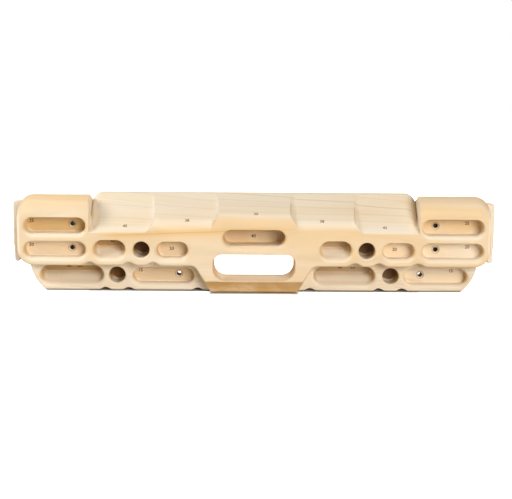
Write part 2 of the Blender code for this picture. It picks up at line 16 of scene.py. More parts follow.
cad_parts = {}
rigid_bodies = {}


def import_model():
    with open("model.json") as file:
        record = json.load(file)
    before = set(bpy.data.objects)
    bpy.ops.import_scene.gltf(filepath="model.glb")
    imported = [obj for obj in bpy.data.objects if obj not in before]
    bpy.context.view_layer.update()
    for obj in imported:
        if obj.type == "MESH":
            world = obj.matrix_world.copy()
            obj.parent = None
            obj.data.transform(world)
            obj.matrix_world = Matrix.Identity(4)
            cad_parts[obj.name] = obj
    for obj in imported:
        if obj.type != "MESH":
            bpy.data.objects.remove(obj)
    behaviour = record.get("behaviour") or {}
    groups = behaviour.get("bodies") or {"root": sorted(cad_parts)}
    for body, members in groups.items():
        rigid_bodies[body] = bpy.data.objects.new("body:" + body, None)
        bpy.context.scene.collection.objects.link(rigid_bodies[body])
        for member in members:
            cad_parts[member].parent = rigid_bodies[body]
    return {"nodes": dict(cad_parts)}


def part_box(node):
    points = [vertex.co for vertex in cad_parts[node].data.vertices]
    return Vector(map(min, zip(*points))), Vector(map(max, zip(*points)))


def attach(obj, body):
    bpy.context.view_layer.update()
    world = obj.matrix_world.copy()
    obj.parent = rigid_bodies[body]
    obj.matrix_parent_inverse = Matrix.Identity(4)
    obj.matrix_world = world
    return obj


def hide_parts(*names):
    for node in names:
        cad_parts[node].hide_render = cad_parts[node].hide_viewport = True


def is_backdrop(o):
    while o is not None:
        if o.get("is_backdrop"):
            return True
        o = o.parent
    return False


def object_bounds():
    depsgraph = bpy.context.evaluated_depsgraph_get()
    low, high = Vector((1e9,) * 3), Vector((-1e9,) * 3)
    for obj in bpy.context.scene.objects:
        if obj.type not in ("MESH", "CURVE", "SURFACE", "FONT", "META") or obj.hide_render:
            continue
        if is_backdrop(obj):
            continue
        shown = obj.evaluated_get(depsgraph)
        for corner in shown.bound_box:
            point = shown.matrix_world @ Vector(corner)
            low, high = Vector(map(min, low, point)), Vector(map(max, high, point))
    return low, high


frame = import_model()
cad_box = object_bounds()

print("boards:", sorted(frame["nodes"]))
print("size in mm:", [round(1000 * side, 1) for side in cad_box[1] - cad_box[0]])

# %% [markdown]
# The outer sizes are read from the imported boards. The front face lies at the lowest Y, and every depth below
# is counted from it towards the wall. The half widths of the three boards step outwards to the back, which
# is how the lamination shows at the ends.

# %% Read the board sizes
front_low, front_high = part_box("front_board")
middle_low, middle_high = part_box("middle_board")
rear_low, rear_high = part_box("rear_board")

FACE_Y = front_low.y
BOARD_DEPTH = rear_high.y - FACE_Y
FRONT_THICKNESS = middle_low.y - FACE_Y
REAR_FACE_DEPTH = rear_low.y - FACE_Y
BOARD_HEIGHT = rear_high.z
FRONT_HALF_WIDTH = front_high.x
MIDDLE_HALF_WIDTH = middle_high.x
REAR_HALF_WIDTH = rear_high.x
GLUE_LINE = 0.00006
OVERCUT = 0.006


def place(x, depth, z):
    """A point at a depth behind the front face."""
    return Vector((x, FACE_Y + depth, z))


print("front board in mm:", round(2000 * FRONT_HALF_WIDTH), "by", round(1000 * FRONT_THICKNESS))

# %% [markdown]
# The camera stands where the photographer's stood: a little above the board, slightly left of its middle and
# looking down at it. The lens is long, so the board's two ends look almost alike.

# %% Set up the camera
CAMERA_PLACE = Vector((-0.0120, FACE_Y - 1.700, 0.3162))
CAMERA_YAW = math.radians(0.49)
CAMERA_PITCH = math.radians(8.43)
CAMERA_ROLL = math.radians(0.425)
FOCAL_PIXELS = 1209.6
PHOTO_WIDTH = 512
SENSOR_WIDTH = 36.0

camera_data = bpy.data.cameras.new("camera")
camera_data.sensor_width = SENSOR_WIDTH
camera_data.lens = FOCAL_PIXELS * SENSOR_WIDTH / PHOTO_WIDTH
camera_data.clip_start = 0.05
camera_data.clip_end = 50.0
camera = bpy.data.objects.new("camera", camera_data)
camera.matrix_world = (
    Matrix.Translation(CAMERA_PLACE)
    @ Matrix.Rotation(-CAMERA_YAW, 4, "Z")
    @ Matrix.Rotation(math.pi / 2 - CAMERA_PITCH, 4, "X")
    @ Matrix.Rotation(CAMERA_ROLL, 4, "Z")
)
bpy.context.scene.collection.objects.link(camera)
bpy.context.scene.camera = camera
print("lens in mm:", round(camera_data.lens, 1))

# %% [markdown]
# A wooden part is turned, sawn and routed, and a mesh can be made the same way. The helper below starts from
# a ring of vertices and extrudes it from section to section, as a router bit sweeps from the face down to a
# pocket's floor. Every vertex remembers its place in the ring, so each extruded copy knows where it belongs.

# %% Sweep a cutter through its sections
cutters = bpy.data.collections.new("cutters")


def finished(mesh, name, shelf):
    """Object made of a bmesh and put into a collection."""
    data = bpy.data.meshes.new(name)
    mesh.to_mesh(data)
    mesh.free()
    made = bpy.data.objects.new(name, data)
    shelf.objects.link(made)
    return made


def sweep(name, rings):
    """Closed solid through rings of equally many points, made by extruding the first ring onwards."""
    mesh = bmesh.new()
    seat = mesh.verts.layers.int.new("seat")
    verts = [mesh.verts.new(point) for point in rings[0]]
    for number, vert in enumerate(verts):
        vert[seat] = number
    edges = [mesh.edges.new(pair) for pair in zip(verts, verts[1:] + verts[:1])]
    bmesh.ops.contextual_create(mesh, geom=edges)
    for ring in rings[1:]:
        grown = bmesh.ops.extrude_edge_only(mesh, edges=edges)["geom"]
        fresh = {item for item in grown if isinstance(item, bmesh.types.BMVert)}
        lines = [item for item in grown if isinstance(item, bmesh.types.BMEdge)]
        edges = [edge for edge in lines if fresh.issuperset(edge.verts)]
        for vert in fresh:
            vert.co = ring[vert[seat]]
    bmesh.ops.contextual_create(mesh, geom=edges)
    bmesh.ops.recalc_face_normals(mesh, faces=mesh.faces)
    return finished(mesh, name, cutters)


print("cutters go into the collection", cutters.name)

# %% [markdown]
# Every finger pocket is one pass of a bit about 23 mm wide, so all pockets are slots with round ends. What a
# hand feels is the lip: a wide round below, where the finger lies, and almost none above. One function gives
# the slot's outline with the direction in which its wall faces the wood, and another spreads that outline
# into the lip, ring by ring, with a radius that follows the wall's direction.

# %% Draw a slot and its lip
CORNER_STEPS = 14
LIP_STEPS = 9
FLOOR_STEPS = 5
LIP_START = math.radians(3)
SAME_POINT = 0.00001


def slot_outline(half_length, low, high, low_corner, high_corner):
    """Points of a rounded slot, each with the direction in which its wall faces the wood."""
    corners = (
        (half_length - low_corner, low + low_corner, low_corner, -90),
        (half_length - high_corner, high - high_corner, high_corner, 0),
        (high_corner - half_length, high - high_corner, high_corner, 90),
        (low_corner - half_length, low + low_corner, low_corner, 180),
    )
    points = []
    for centre_x, centre_z, radius, start in corners:
        for step in range(CORNER_STEPS + 1):
            angle = math.radians(start + 90 * step / CORNER_STEPS)
            facing = Vector((math.cos(angle), math.sin(angle)))
            spot = Vector((centre_x, centre_z)) + radius * facing
            if not points or (points[-1][0] - spot).length > SAME_POINT:
                points.append((spot, facing))
    if (points[0][0] - points[-1][0]).length < SAME_POINT:
        points.pop()
    return points


def lip_rings(x, face_depth, outline, lip_top, lip_bottom, floor_angle=0.0):
    """Rings from outside the wood down a lip that is wide below and narrow above."""
    rings = []
    for step in range(-1, LIP_STEPS + 1):
        ring = []
        for spot, facing in outline:
            lip = lip_top + (lip_bottom - lip_top) * (1 - facing.y) / 2
            last = math.pi / 2 - floor_angle * max(0.0, -facing.y)
            angle = LIP_START + (last - LIP_START) * max(0, step) / LIP_STEPS
            spread = spot + facing * lip * (1 - math.sin(angle))
            depth = lip * (1 - math.cos(angle)) if step >= 0 else -OVERCUT
            ring.append(place(x + spread.x, face_depth + depth, spread.y))
        rings.append(ring)
    return rings


def floor_rings(x, floor_depth, outline, fillet):
    """Rings round the fillet at the foot of a pocket's wall."""
    rings = []
    for step in range(FLOOR_STEPS + 1):
        angle = math.pi / 2 * step / FLOOR_STEPS
        inset = fillet * (1 - math.cos(angle))
        depth = floor_depth - fillet * (1 - math.sin(angle))
        spots = [spot - facing * inset for spot, facing in outline]
        rings.append([place(x + spot.x, depth, spot.y) for spot in spots])
    return rings


print("points at each corner of a slot:", CORNER_STEPS + 1)

# %% [markdown]
# The pockets come in four kinds: flat slots of 15 to 40 mm depth, slots whose lower side climbs towards the
# back, round holes for one finger, and the screw holes in the pockets' floors. The flat slot is the plain
# case. The climbing slot joins its lip to a smaller ring at the back, so its floor becomes a ramp.

# %% Name the sizes of the pockets
POCKET_HEIGHT = 0.023
LIP_TOP = 0.001
LIP_BOTTOM = 0.008
FLOOR_FILLET = 0.002
MONO_DIAMETER = 0.0235
MONO_LIP_BOTTOM = 0.003
MONO_FLOOR_FILLET = 0.004
SLOPED_DEPTH = 0.030
SLOPED_EXTRA_HEIGHT = 0.002
SLOPED_ANGLE = math.radians(25)

UPPER_ROW = 0.0967
MIDDLE_ROW = 0.0628
LOWER_ROW = 0.0231
CENTRE_SLOT_HEIGHT = 0.0804
CENTRE_SLOT_LENGTH = 0.088
CENTRE_SLOT_DEPTH = 0.040
END_POCKET = 0.2833
END_POCKET_LENGTH = 0.0871
UPPER_DEPTH = 0.025
MIDDLE_DEPTH = 0.020
SMALL_OUTER = 0.2060
SMALL_INNER = 0.1165
SMALL_LENGTH = 0.0440
LOWER_OUTER = 0.2625
LOWER_OUTER_LENGTH = 0.0895
LOWER_INNER = 0.1305
LOWER_INNER_LENGTH = 0.0870
LOWER_DEPTH = 0.015
UPPER_MONO = 0.1606
UPPER_MONO_DEPTH = 0.040
LOWER_MONO = 0.1973
LOWER_MONO_DEPTH = 0.030
print("pocket rows at mm:", [round(1000 * height, 1) for height in (UPPER_ROW, MIDDLE_ROW, LOWER_ROW)])


# %% Shape a pocket of each kind
def flat_slot(name, x, z, length, face_depth, depth):
    """Finger pocket with a level floor."""
    radius = POCKET_HEIGHT / 2
    outline = slot_outline(length / 2, z - radius, z + radius, radius, radius)
    rings = lip_rings(x, face_depth, outline, LIP_TOP, LIP_BOTTOM)
    return sweep(name, rings + floor_rings(x, face_depth + depth, outline, FLOOR_FILLET))


def climbing_slot(name, x, z, length, face_depth):
    """Finger pocket whose lower side climbs towards the back."""
    low = z - POCKET_HEIGHT / 2
    high = z + POCKET_HEIGHT / 2 + SLOPED_EXTRA_HEIGHT
    radius = (high - low) / 2
    outline = slot_outline(length / 2, low, high, radius, radius)
    rings = lip_rings(x, face_depth, outline, LIP_TOP, LIP_BOTTOM, SLOPED_ANGLE)
    ramp_start = LIP_BOTTOM * (1 - math.sin(SLOPED_ANGLE))
    back_low = low + (SLOPED_DEPTH - ramp_start) * math.tan(SLOPED_ANGLE)
    back_radius = (high - back_low) / 2
    back = slot_outline(length / 2, back_low, high, back_radius, back_radius)
    return sweep(name, rings + floor_rings(x, face_depth + SLOPED_DEPTH, back, FLOOR_FILLET))


def mono(name, x, z, face_depth, depth):
    """Round hole for one finger."""
    radius = MONO_DIAMETER / 2
    outline = slot_outline(radius, z - radius, z + radius, radius, radius)
    rings = lip_rings(x, face_depth, outline, LIP_TOP, MONO_LIP_BOTTOM)
    return sweep(name, rings + floor_rings(x, face_depth + depth, outline, MONO_FLOOR_FILLET))


print("ramps climb at", round(math.degrees(SLOPED_ANGLE)), "degrees")

# %% Cut the finger pockets
pockets = []
for side, tag in ((-1, "left"), (1, "right")):
    sloped_small, flat_small = sorted((side * SMALL_OUTER, side * SMALL_INNER))
    outer = (side * LOWER_OUTER, LOWER_OUTER_LENGTH)
    inner = (side * LOWER_INNER, LOWER_INNER_LENGTH)
    sloped_low, flat_low = sorted((outer, inner))
    pockets += [
        flat_slot(f"upper_{tag}", side * END_POCKET, UPPER_ROW, END_POCKET_LENGTH, 0.0, UPPER_DEPTH),
        flat_slot(f"middle_{tag}", side * END_POCKET, MIDDLE_ROW, END_POCKET_LENGTH, 0.0, MIDDLE_DEPTH),
        flat_slot(f"small_flat_{tag}", flat_small, MIDDLE_ROW, SMALL_LENGTH, 0.0, MIDDLE_DEPTH),
        climbing_slot(f"small_sloped_{tag}", sloped_small, MIDDLE_ROW, SMALL_LENGTH, 0.0),
        flat_slot(f"lower_flat_{tag}", flat_low[0], LOWER_ROW, flat_low[1], FRONT_THICKNESS, LOWER_DEPTH),
        climbing_slot(f"lower_sloped_{tag}", sloped_low[0], LOWER_ROW, sloped_low[1], FRONT_THICKNESS),
        mono(f"upper_mono_{tag}", side * UPPER_MONO, MIDDLE_ROW, 0.0, UPPER_MONO_DEPTH),
        mono(f"lower_mono_{tag}", side * LOWER_MONO, LOWER_ROW, FRONT_THICKNESS, LOWER_MONO_DEPTH),
    ]
pockets.append(
    flat_slot("centre_slot", 0.0, CENTRE_SLOT_HEIGHT, CENTRE_SLOT_LENGTH, 0.0, CENTRE_SLOT_DEPTH)
)
print("pocket cutters:", len(pockets))

# %% [markdown]
# Six screws would hold the board to its wall. Each hole is a countersink and a bore, the kind of shape that a
# drill makes, so its profile is spun once round the axis. The holes start just above the pockets' floors and
# leave through the back, and no screw is in them.

# %% Drill the screw holes
SCREW_DIAMETER = 0.0065
COUNTERSINK_DIAMETER = 0.0107
SCREW_STEPS = 40
END_SCREW = 0.2610
LOWER_LEFT_SCREW = -0.1089
LOWER_RIGHT_SCREW = 0.2420


def screw_hole(name, x, z, floor_depth):
    """Countersink and bore, spun from a half profile."""
    bore = SCREW_DIAMETER / 2
    sink = COUNTERSINK_DIAMETER / 2
    end = BOARD_DEPTH - floor_depth + OVERCUT
    mouth = -FLOOR_FILLET
    profile = ((0.0, mouth), (sink + FLOOR_FILLET, mouth), (bore, sink - bore), (bore, end), (0.0, end))
    mesh = bmesh.new()
    verts = [mesh.verts.new(place(x + radius, floor_depth + depth, z)) for radius, depth in profile]
    edges = [mesh.edges.new(pair) for pair in zip(verts, verts[1:])]
    bmesh.ops.spin(mesh, geom=verts + edges, cent=place(x, floor_depth, z), axis=(0, 1, 0),
                   angle=2 * math.pi, steps=SCREW_STEPS, use_merge=True)
    bmesh.ops.remove_doubles(mesh, verts=mesh.verts, dist=SAME_POINT)
    bmesh.ops.recalc_face_normals(mesh, faces=mesh.faces)
    return finished(mesh, name, cutters)


LOWER_FLOOR = FRONT_THICKNESS + LOWER_DEPTH
SCREWS = (
    (-END_SCREW, UPPER_ROW, UPPER_DEPTH), (END_SCREW, UPPER_ROW, UPPER_DEPTH),
    (-END_SCREW, MIDDLE_ROW, MIDDLE_DEPTH), (END_SCREW, MIDDLE_ROW, MIDDLE_DEPTH),
    (LOWER_LEFT_SCREW, LOWER_ROW, LOWER_FLOOR), (LOWER_RIGHT_SCREW, LOWER_ROW, LOWER_FLOOR),
)
screw_cutters = [screw_hole(f"screw_{number}", *sizes) for number, sizes in enumerate(SCREWS, start=1)]
print("screw holes:", len(screw_cutters))

# %% [markdown]
# In the middle a hand or a sling goes right through the board. The hole has a rounded lip below, as the
# pockets have, and a small round at the back. Under the bar that is left, a cove is hollowed along the
# front, so that the fingers can also hold the bar from below.

# %% Open the handle
HANDLE_HALF_WIDTH = 0.0582
HANDLE_TOP = 0.0565
BAR_HEIGHT = 0.0185
HANDLE_LIP = 0.005
HANDLE_TOP_CORNER = 0.0125
HANDLE_LOW_CORNER = 0.0180
BACK_ROUND = 0.003
COVE_HEIGHT = 0.0180
COVE_EXIT_RISE = 0.0015
COVE_STEPS = 14
COVE_DEPTH = 0.008
COVE_END_DEPTH = 0.003
COVE_STATIONS = ((-0.080, COVE_END_DEPTH), (-0.046, COVE_DEPTH), (0.046, COVE_DEPTH), (0.080, COVE_END_DEPTH))

outline = slot_outline(HANDLE_HALF_WIDTH, BAR_HEIGHT, HANDLE_TOP, HANDLE_LOW_CORNER, HANDLE_TOP_CORNER)
rings = lip_rings(0.0, 0.0, outline, LIP_TOP, HANDLE_LIP)
for step in range(LIP_STEPS, -1, -1):
    angle = LIP_START + (math.pi / 2 - LIP_START) * step / LIP_STEPS
    depth = BOARD_DEPTH - BACK_ROUND * (1 - math.cos(angle))
    spots = [spot + facing * BACK_ROUND * (1 - math.sin(angle)) for spot, facing in outline]
    rings.append([place(spot.x, depth, spot.y) for spot in spots])
rings.append([point + Vector((0, OVERCUT, 0)) for point in rings[-1]])
handle_hole = sweep("handle_hole", rings)
print("handle hole in mm:", round(2000 * HANDLE_HALF_WIDTH), "by", round(1000 * (HANDLE_TOP - BAR_HEIGHT)))


# %% Hollow the cove under the bar
def cove_section(x, depth):
    """Section of the cove: an arc from the bar's nose down and back to its foot."""
    radius = (depth**2 + COVE_HEIGHT**2) / (2 * depth)
    top = math.asin(COVE_HEIGHT / radius)
    section = [place(x, -OVERCUT, -OVERCUT), place(x, depth, -OVERCUT)]
    for step in range(COVE_STEPS + 1):
        angle = top * step / COVE_STEPS
        section.append(place(x, depth - radius * (1 - math.cos(angle)), radius * math.sin(angle)))
    section.append(place(x, -OVERCUT, COVE_HEIGHT + COVE_EXIT_RISE))
    return section


handle_cove = sweep("handle_cove", [cove_section(x, depth) for x, depth in COVE_STATIONS])
print("cove in mm:", round(1000 * COVE_HEIGHT), "high and", round(1000 * COVE_DEPTH), "deep")

# %% [markdown]
# The top of the board is where the palms go. Five ledges slope back at 30, 38 and 45 degrees, and each is
# lower at the front than the one before, so a small fillet climbs at every step. Seen from the side a ledge
# is a rounded lip, a straight slope and a rounded crest, and a function gives its height at any depth.

# %% Shape the sloping ledges
SLOPER_TOP_DEPTH = 0.052
SLOPER_CREST_RADIUS = 0.008
SLOPER_STEPS = (0.0507, 0.1423)
SLOPER_ANGLES = (math.radians(30), math.radians(38), math.radians(45))
SLOPER_LIPS = (0.012, 0.0124, 0.002)
STEP_FILLET = 0.009
STEP_CORNER = 0.009
LAST = len(SLOPER_ANGLES) - 1


def sloper_height(index, depth):
    """Height of a ledge at a depth behind the face."""
    angle = SLOPER_ANGLES[index]
    lip = SLOPER_LIPS[index]
    front_corner = BOARD_HEIGHT - SLOPER_TOP_DEPTH * math.tan(angle)
    radius = lip / math.tan((math.pi / 2 - angle) / 2)
    if depth < lip * math.cos(angle):
        return front_corner - lip + math.sqrt(max(0.0, radius**2 - (radius - depth) ** 2))
    crest = SLOPER_CREST_RADIUS
    reach = crest * math.tan(angle / 2)
    if depth > SLOPER_TOP_DEPTH + reach:
        return BOARD_HEIGHT
    if depth > SLOPER_TOP_DEPTH - reach * math.cos(angle):
        past = SLOPER_TOP_DEPTH + reach - depth
        return BOARD_HEIGHT - crest + math.sqrt(crest**2 - past**2)
    return front_corner + depth * math.tan(angle)


def round_fall(radius, run):
    """How far a round of the given radius has fallen after a run from its top."""
    return radius - math.sqrt(max(0.0, radius**2 - min(run, radius) ** 2))


def swing(depth):
    """How far a step has swung outwards at a depth: the ledge below it has a round front corner."""
    return round_fall(STEP_CORNER, max(0.0, STEP_CORNER - depth))


def ledge(index, run):
    """Section of a ledge; run is the distance from its inner wall, in whose fillet the ledge climbs."""

    def height(depth):
        own = sloper_height(index, depth)
        if index == 0 or run >= STEP_FILLET:
            return own
        climb = round_fall(STEP_FILLET, STEP_FILLET - run)
        return min(sloper_height(index - 1, depth), own + climb)

    return height


for index, angle in enumerate(SLOPER_ANGLES):
    start = sloper_height(index, 0.0)
    print(round(math.degrees(angle)), "degree ledge starts at", round(1000 * start), "mm")

# %% [markdown]
# The jugs at the ends are whole rounds that a hand closes over. Their tops are round to the front, fall
# gently towards the wall and drop away at the outer corners. Between the last ledge and the jug's wall lies
# a groove: the ledge's end is rounded down into it.

# %% Shape the jugs and the groove beside them
JUG_INNER = 0.235
JUG_CREST = BOARD_HEIGHT - 0.001
JUG_ROUND = 0.025
JUG_FALL_ANGLE = math.radians(17)
JUG_CORNER = 0.022
JUG_ARRIS = 0.002
JUG_SHOULDER_FALL = 0.010
GROOVE_ROUND = 0.0165
GROOVE_FLOOR_FRONT = BOARD_HEIGHT - 0.053
GROOVE_FLOOR_BACK = BOARD_HEIGHT - 0.0125
GROOVE_START = JUG_INNER - GROOVE_ROUND


def jug_height(depth):
    """Height of a jug at a depth: round over the front, over the crest, and down towards the wall."""
    if depth < JUG_ROUND:
        return JUG_CREST - JUG_ROUND + math.sqrt(JUG_ROUND**2 - (JUG_ROUND - depth) ** 2)
    past = depth - JUG_ROUND
    turn = JUG_ROUND * math.sin(JUG_FALL_ANGLE)
    if past < turn:
        return JUG_CREST - JUG_ROUND + math.sqrt(JUG_ROUND**2 - past**2)
    return JUG_CREST - JUG_ROUND * (1 - math.cos(JUG_FALL_ANGLE)) - (past - turn) * math.tan(JUG_FALL_ANGLE)


def jug(fall):
    """Section of a jug, lowered by the fall of its rounded inner or outer corner."""
    return lambda depth: jug_height(depth) - fall


def groove(x):
    """Section of the rounded end of the last ledge and the groove beside the jug."""

    def height(depth):
        own = sloper_height(LAST, depth)
        floor = GROOVE_FLOOR_FRONT + (GROOVE_FLOOR_BACK - GROOVE_FLOOR_FRONT) * depth / BOARD_DEPTH
        return min(own, max(floor, own - round_fall(GROOVE_ROUND, x - GROOVE_START)))

    return height


for place_name, depth in (("crest", JUG_ROUND), ("back", BOARD_DEPTH)):
    print("jug height in mm at its", place_name, "is", round(1000 * jug_height(depth)))

# %% [markdown]
# All of this is routed off as one solid that lies above the board. It is swept along the board from the left
# end to the right, through a section at every place where the shape changes. The stations stand close
# together in the fillets and far apart on the straight ledges. The rear board keeps its corners at the ends,
# so it gets a second version that stops at the jugs' full height.

# %% Choose the stations along the top
TOP_STEPS = 12
TOP_LIP_STEPS = 22
ARRIS_STEPS = 4
STATION_GAP = 0.00002


def quarter(steps):
    """Angles of a quarter turn."""
    return [math.pi / 2 * number / steps for number in range(steps + 1)]


def ledge_stations():
    """Places along X on the ledges, the sections there and 1 where the section swings at the front."""
    stations = [(0.0, ledge(0, 0.0), 0)]
    for index, step in enumerate(SLOPER_STEPS, start=1):
        stations.append((step - STATION_GAP, ledge(index - 1, STEP_FILLET), 1))
        runs = [STEP_FILLET * (1 - math.cos(angle)) for angle in quarter(TOP_STEPS)]
        stations += [(step + run, ledge(index, run), 1) for run in runs]
    return stations


def end_stations(rounded_end):
    """Places along X on the groove and the jug, the sections there and 0, because none swings."""
    places = [GROOVE_START + GROOVE_ROUND * math.sin(angle) for angle in quarter(TOP_STEPS)[:-1]]
    stations = [(x, groove(x), 0) for x in places]
    stations.append((JUG_INNER - STATION_GAP, groove(JUG_INNER), 0))
    for angle in quarter(ARRIS_STEPS):
        x = JUG_INNER + JUG_ARRIS * (1 - math.cos(angle))
        stations.append((x, jug(JUG_ARRIS * (1 - math.sin(angle))), 0))
    if not rounded_end:
        return stations + [(REAR_HALF_WIDTH + OVERCUT, jug(0.0), 0)]
    for angle in quarter(TOP_STEPS):
        x = FRONT_HALF_WIDTH - JUG_CORNER * (1 - math.sin(angle))
        stations.append((x, jug(JUG_CORNER * (1 - math.cos(angle))), 0))
    return stations + [(MIDDLE_HALF_WIDTH + OVERCUT, jug(JUG_CORNER + JUG_SHOULDER_FALL), 0)]


print("stations on the ledges:", len(ledge_stations()), "and beyond them:", len(end_stations(True)))


# %% Sweep the top from end to end
def top_depths():
    """Depths at which the top is sampled: close together at the lips, wider on the slopes."""
    lips = [JUG_ROUND * (1 - math.cos(angle)) for angle in quarter(TOP_LIP_STEPS)]
    reach = SLOPER_CREST_RADIUS * math.tan(SLOPER_ANGLES[-1] / 2)
    turn = JUG_ROUND * (1 + math.sin(JUG_FALL_ANGLE))
    fall = [JUG_ROUND + (turn - JUG_ROUND) * n / ARRIS_STEPS for n in range(1, ARRIS_STEPS + 1)]
    crest = [SLOPER_TOP_DEPTH + reach * n / ARRIS_STEPS for n in range(-TOP_STEPS, ARRIS_STEPS + 1)]
    return [*lips, *fall, *crest, BOARD_DEPTH]


def top_cutter(name, rounded_end):
    """Solid of all that is routed off the top."""
    right = ledge_stations() + end_stations(rounded_end)
    left = [(-x, section, -swings) for x, section, swings in reversed(right[1:])]
    depths = top_depths()
    roof = BOARD_HEIGHT + OVERCUT
    rings = []
    for x, section, swings in left + right:
        ring = [place(x + swings * swing(0.0), -OVERCUT, section(0.0))]
        ring += [place(x + swings * swing(depth), depth, section(depth)) for depth in depths]
        ring.append(place(x, BOARD_DEPTH + OVERCUT, section(BOARD_DEPTH)))
        rings.append(ring + [place(x, BOARD_DEPTH + OVERCUT, roof), place(x, -OVERCUT, roof)])
    return sweep(name, rings)


rounded_top = top_cutter("rounded_top", True)
wide_top = top_cutter("wide_top", False)
print("faces of the top cutter:", len(rounded_top.data.polygons))

# %% [markdown]
# Each board starts as a sawn outline. The front board stops above the lowest pocket row and reaches the
# ground only with the handle. Its lower edge has shallow finger-wide scallops. The two boards behind it end
# in a long curve at each side, and their ends show beside the jugs as a strip and an ear.

# %% Name the sizes of the outlines
CURVE_STEPS = 16
SCALLOP_STEPS = 8
FRONT_EDGE = 0.0395
FRONT_CORNER = 0.024
HANDLE_FOOT = 0.061
SHOULDER_ANGLE = math.radians(59)
SHOULDER_RADIUS = 0.012
SCALLOP_HEIGHT = 0.0048
SCALLOP_HALF_WIDTH = 0.013
FRONT_SCALLOPS = (0.1440, 0.1785, 0.2340)
FOOT_SCALLOPS = (0.0810, 0.1806, 0.2142)
END_RADIUS = 0.060
END_HALF_WIDTH = 0.3227
END_CENTRE_HEIGHT = 0.048
END_NOTCH = (-60, -30)
BACK_RIM = 0.0015
TONGUE_WIDTH = 0.0075
TONGUE_FOOT = 0.042
TONGUE_CLEARANCE = 0.002
EAR_FOOT = 0.060
EAR_TOP = BOARD_HEIGHT - 0.0135
EAR_CORNER = 0.003
EAR_BLEND = 0.025
SAWN_HEIGHT = BOARD_HEIGHT + OVERCUT / 2
print("scallops:", 2 * len(FRONT_SCALLOPS), "in the front and", 2 * len(FOOT_SCALLOPS), "in the foot")


# %% Draw arcs and scallops
def arc(centre_x, centre_z, radius, start, end, steps=CURVE_STEPS):
    """Points on an arc in the board's face, with angles in degrees."""
    angles = [math.radians(start + (end - start) * step / steps) for step in range(steps + 1)]
    return [(centre_x + radius * math.cos(angle), centre_z + radius * math.sin(angle)) for angle in angles]


def scallop(middle, base):
    """A smooth finger-wide hollow in a lower edge."""
    shares = [step / SCALLOP_STEPS for step in range(-SCALLOP_STEPS, SCALLOP_STEPS + 1)]
    return [(middle + SCALLOP_HALF_WIDTH * share, base + SCALLOP_HEIGHT * (1 + math.cos(math.pi * share)) / 2)
            for share in shares]


print("points in a scallop:", 2 * SCALLOP_STEPS + 1)


# %% Draw the outlines
def front_outline():
    """Right half of the front board: handle foot, shoulder, scalloped edge, rounded corner."""
    degrees = math.degrees(SHOULDER_ANGLE)
    rise = SHOULDER_RADIUS * math.tan(SHOULDER_ANGLE / 2)
    top_x = HANDLE_FOOT + FRONT_EDGE / math.tan(SHOULDER_ANGLE)
    half = [(0, 0)]
    half += arc(HANDLE_FOOT - rise, SHOULDER_RADIUS, SHOULDER_RADIUS, -90, degrees - 90)
    half += arc(top_x + rise, FRONT_EDGE - SHOULDER_RADIUS, SHOULDER_RADIUS, degrees + 90, 90)
    for middle in FRONT_SCALLOPS:
        half += scallop(middle, FRONT_EDGE)
    half += arc(FRONT_HALF_WIDTH - FRONT_CORNER, FRONT_EDGE + FRONT_CORNER, FRONT_CORNER, -90, 0)
    return half + [(FRONT_HALF_WIDTH, SAWN_HEIGHT), (0, SAWN_HEIGHT)]


def lower_end(inset):
    """Foot edge with its scallops and the long curve up the end, shared by the two boards behind."""
    points = [(0, 0)]
    for middle in FOOT_SCALLOPS:
        points += scallop(middle, 0)
    start = -math.degrees(math.asin(END_CENTRE_HEIGHT / END_RADIUS))
    end = -math.degrees(math.asin((END_CENTRE_HEIGHT - FRONT_EDGE) / END_RADIUS))
    points += arc(END_HALF_WIDTH - END_RADIUS, END_CENTRE_HEIGHT, END_RADIUS, start, end)
    corner = (FRONT_HALF_WIDTH - FRONT_CORNER, FRONT_EDGE + FRONT_CORNER)
    return points + arc(*corner, FRONT_CORNER - inset, *END_NOTCH)


def middle_outline():
    """Right half of the middle board, with the strip and its rounded foot at the end."""
    half = lower_end(TONGUE_CLEARANCE)
    radius = TONGUE_WIDTH / 2
    half.append((MIDDLE_HALF_WIDTH - TONGUE_WIDTH, half[-1][1]))
    half += arc(MIDDLE_HALF_WIDTH - radius, TONGUE_FOOT + radius, radius, -180, 0)
    return half + [(MIDDLE_HALF_WIDTH, SAWN_HEIGHT), (0, SAWN_HEIGHT)]


def rear_outline():
    """Right half of the rear board, with the wide ear at the end."""
    half = lower_end(TONGUE_CLEARANCE + BACK_RIM)
    half += [(FRONT_HALF_WIDTH, half[-1][1] + EAR_CORNER), (FRONT_HALF_WIDTH, EAR_FOOT)]
    half += arc(REAR_HALF_WIDTH - EAR_CORNER, EAR_FOOT + EAR_CORNER, EAR_CORNER, -90, 0)
    half += arc(REAR_HALF_WIDTH - EAR_CORNER, EAR_TOP - EAR_CORNER, EAR_CORNER, 0, 90)
    blend_end = FRONT_HALF_WIDTH - JUG_CORNER
    return half + [(blend_end, EAR_TOP), (blend_end - EAR_BLEND, SAWN_HEIGHT), (0, SAWN_HEIGHT)]


print("points in the three outlines:", len(front_outline()), len(middle_outline()), len(rear_outline()))

# %% [markdown]
# Now the boards are sawn and routed. Each outline becomes a face, the face is extruded to the board's
# thickness, and its front edges are bevelled as sandpaper would round them. All cutters work in one Boolean,
# because a chain of Booleans leaves slivers where two cutters meet. Last come the normals: weighting them by
# face area keeps the big flat faces flat and lets only the lips shade round.

# %% Saw a board
FRONT_RIM = 0.003
RIM_STEPS = 5


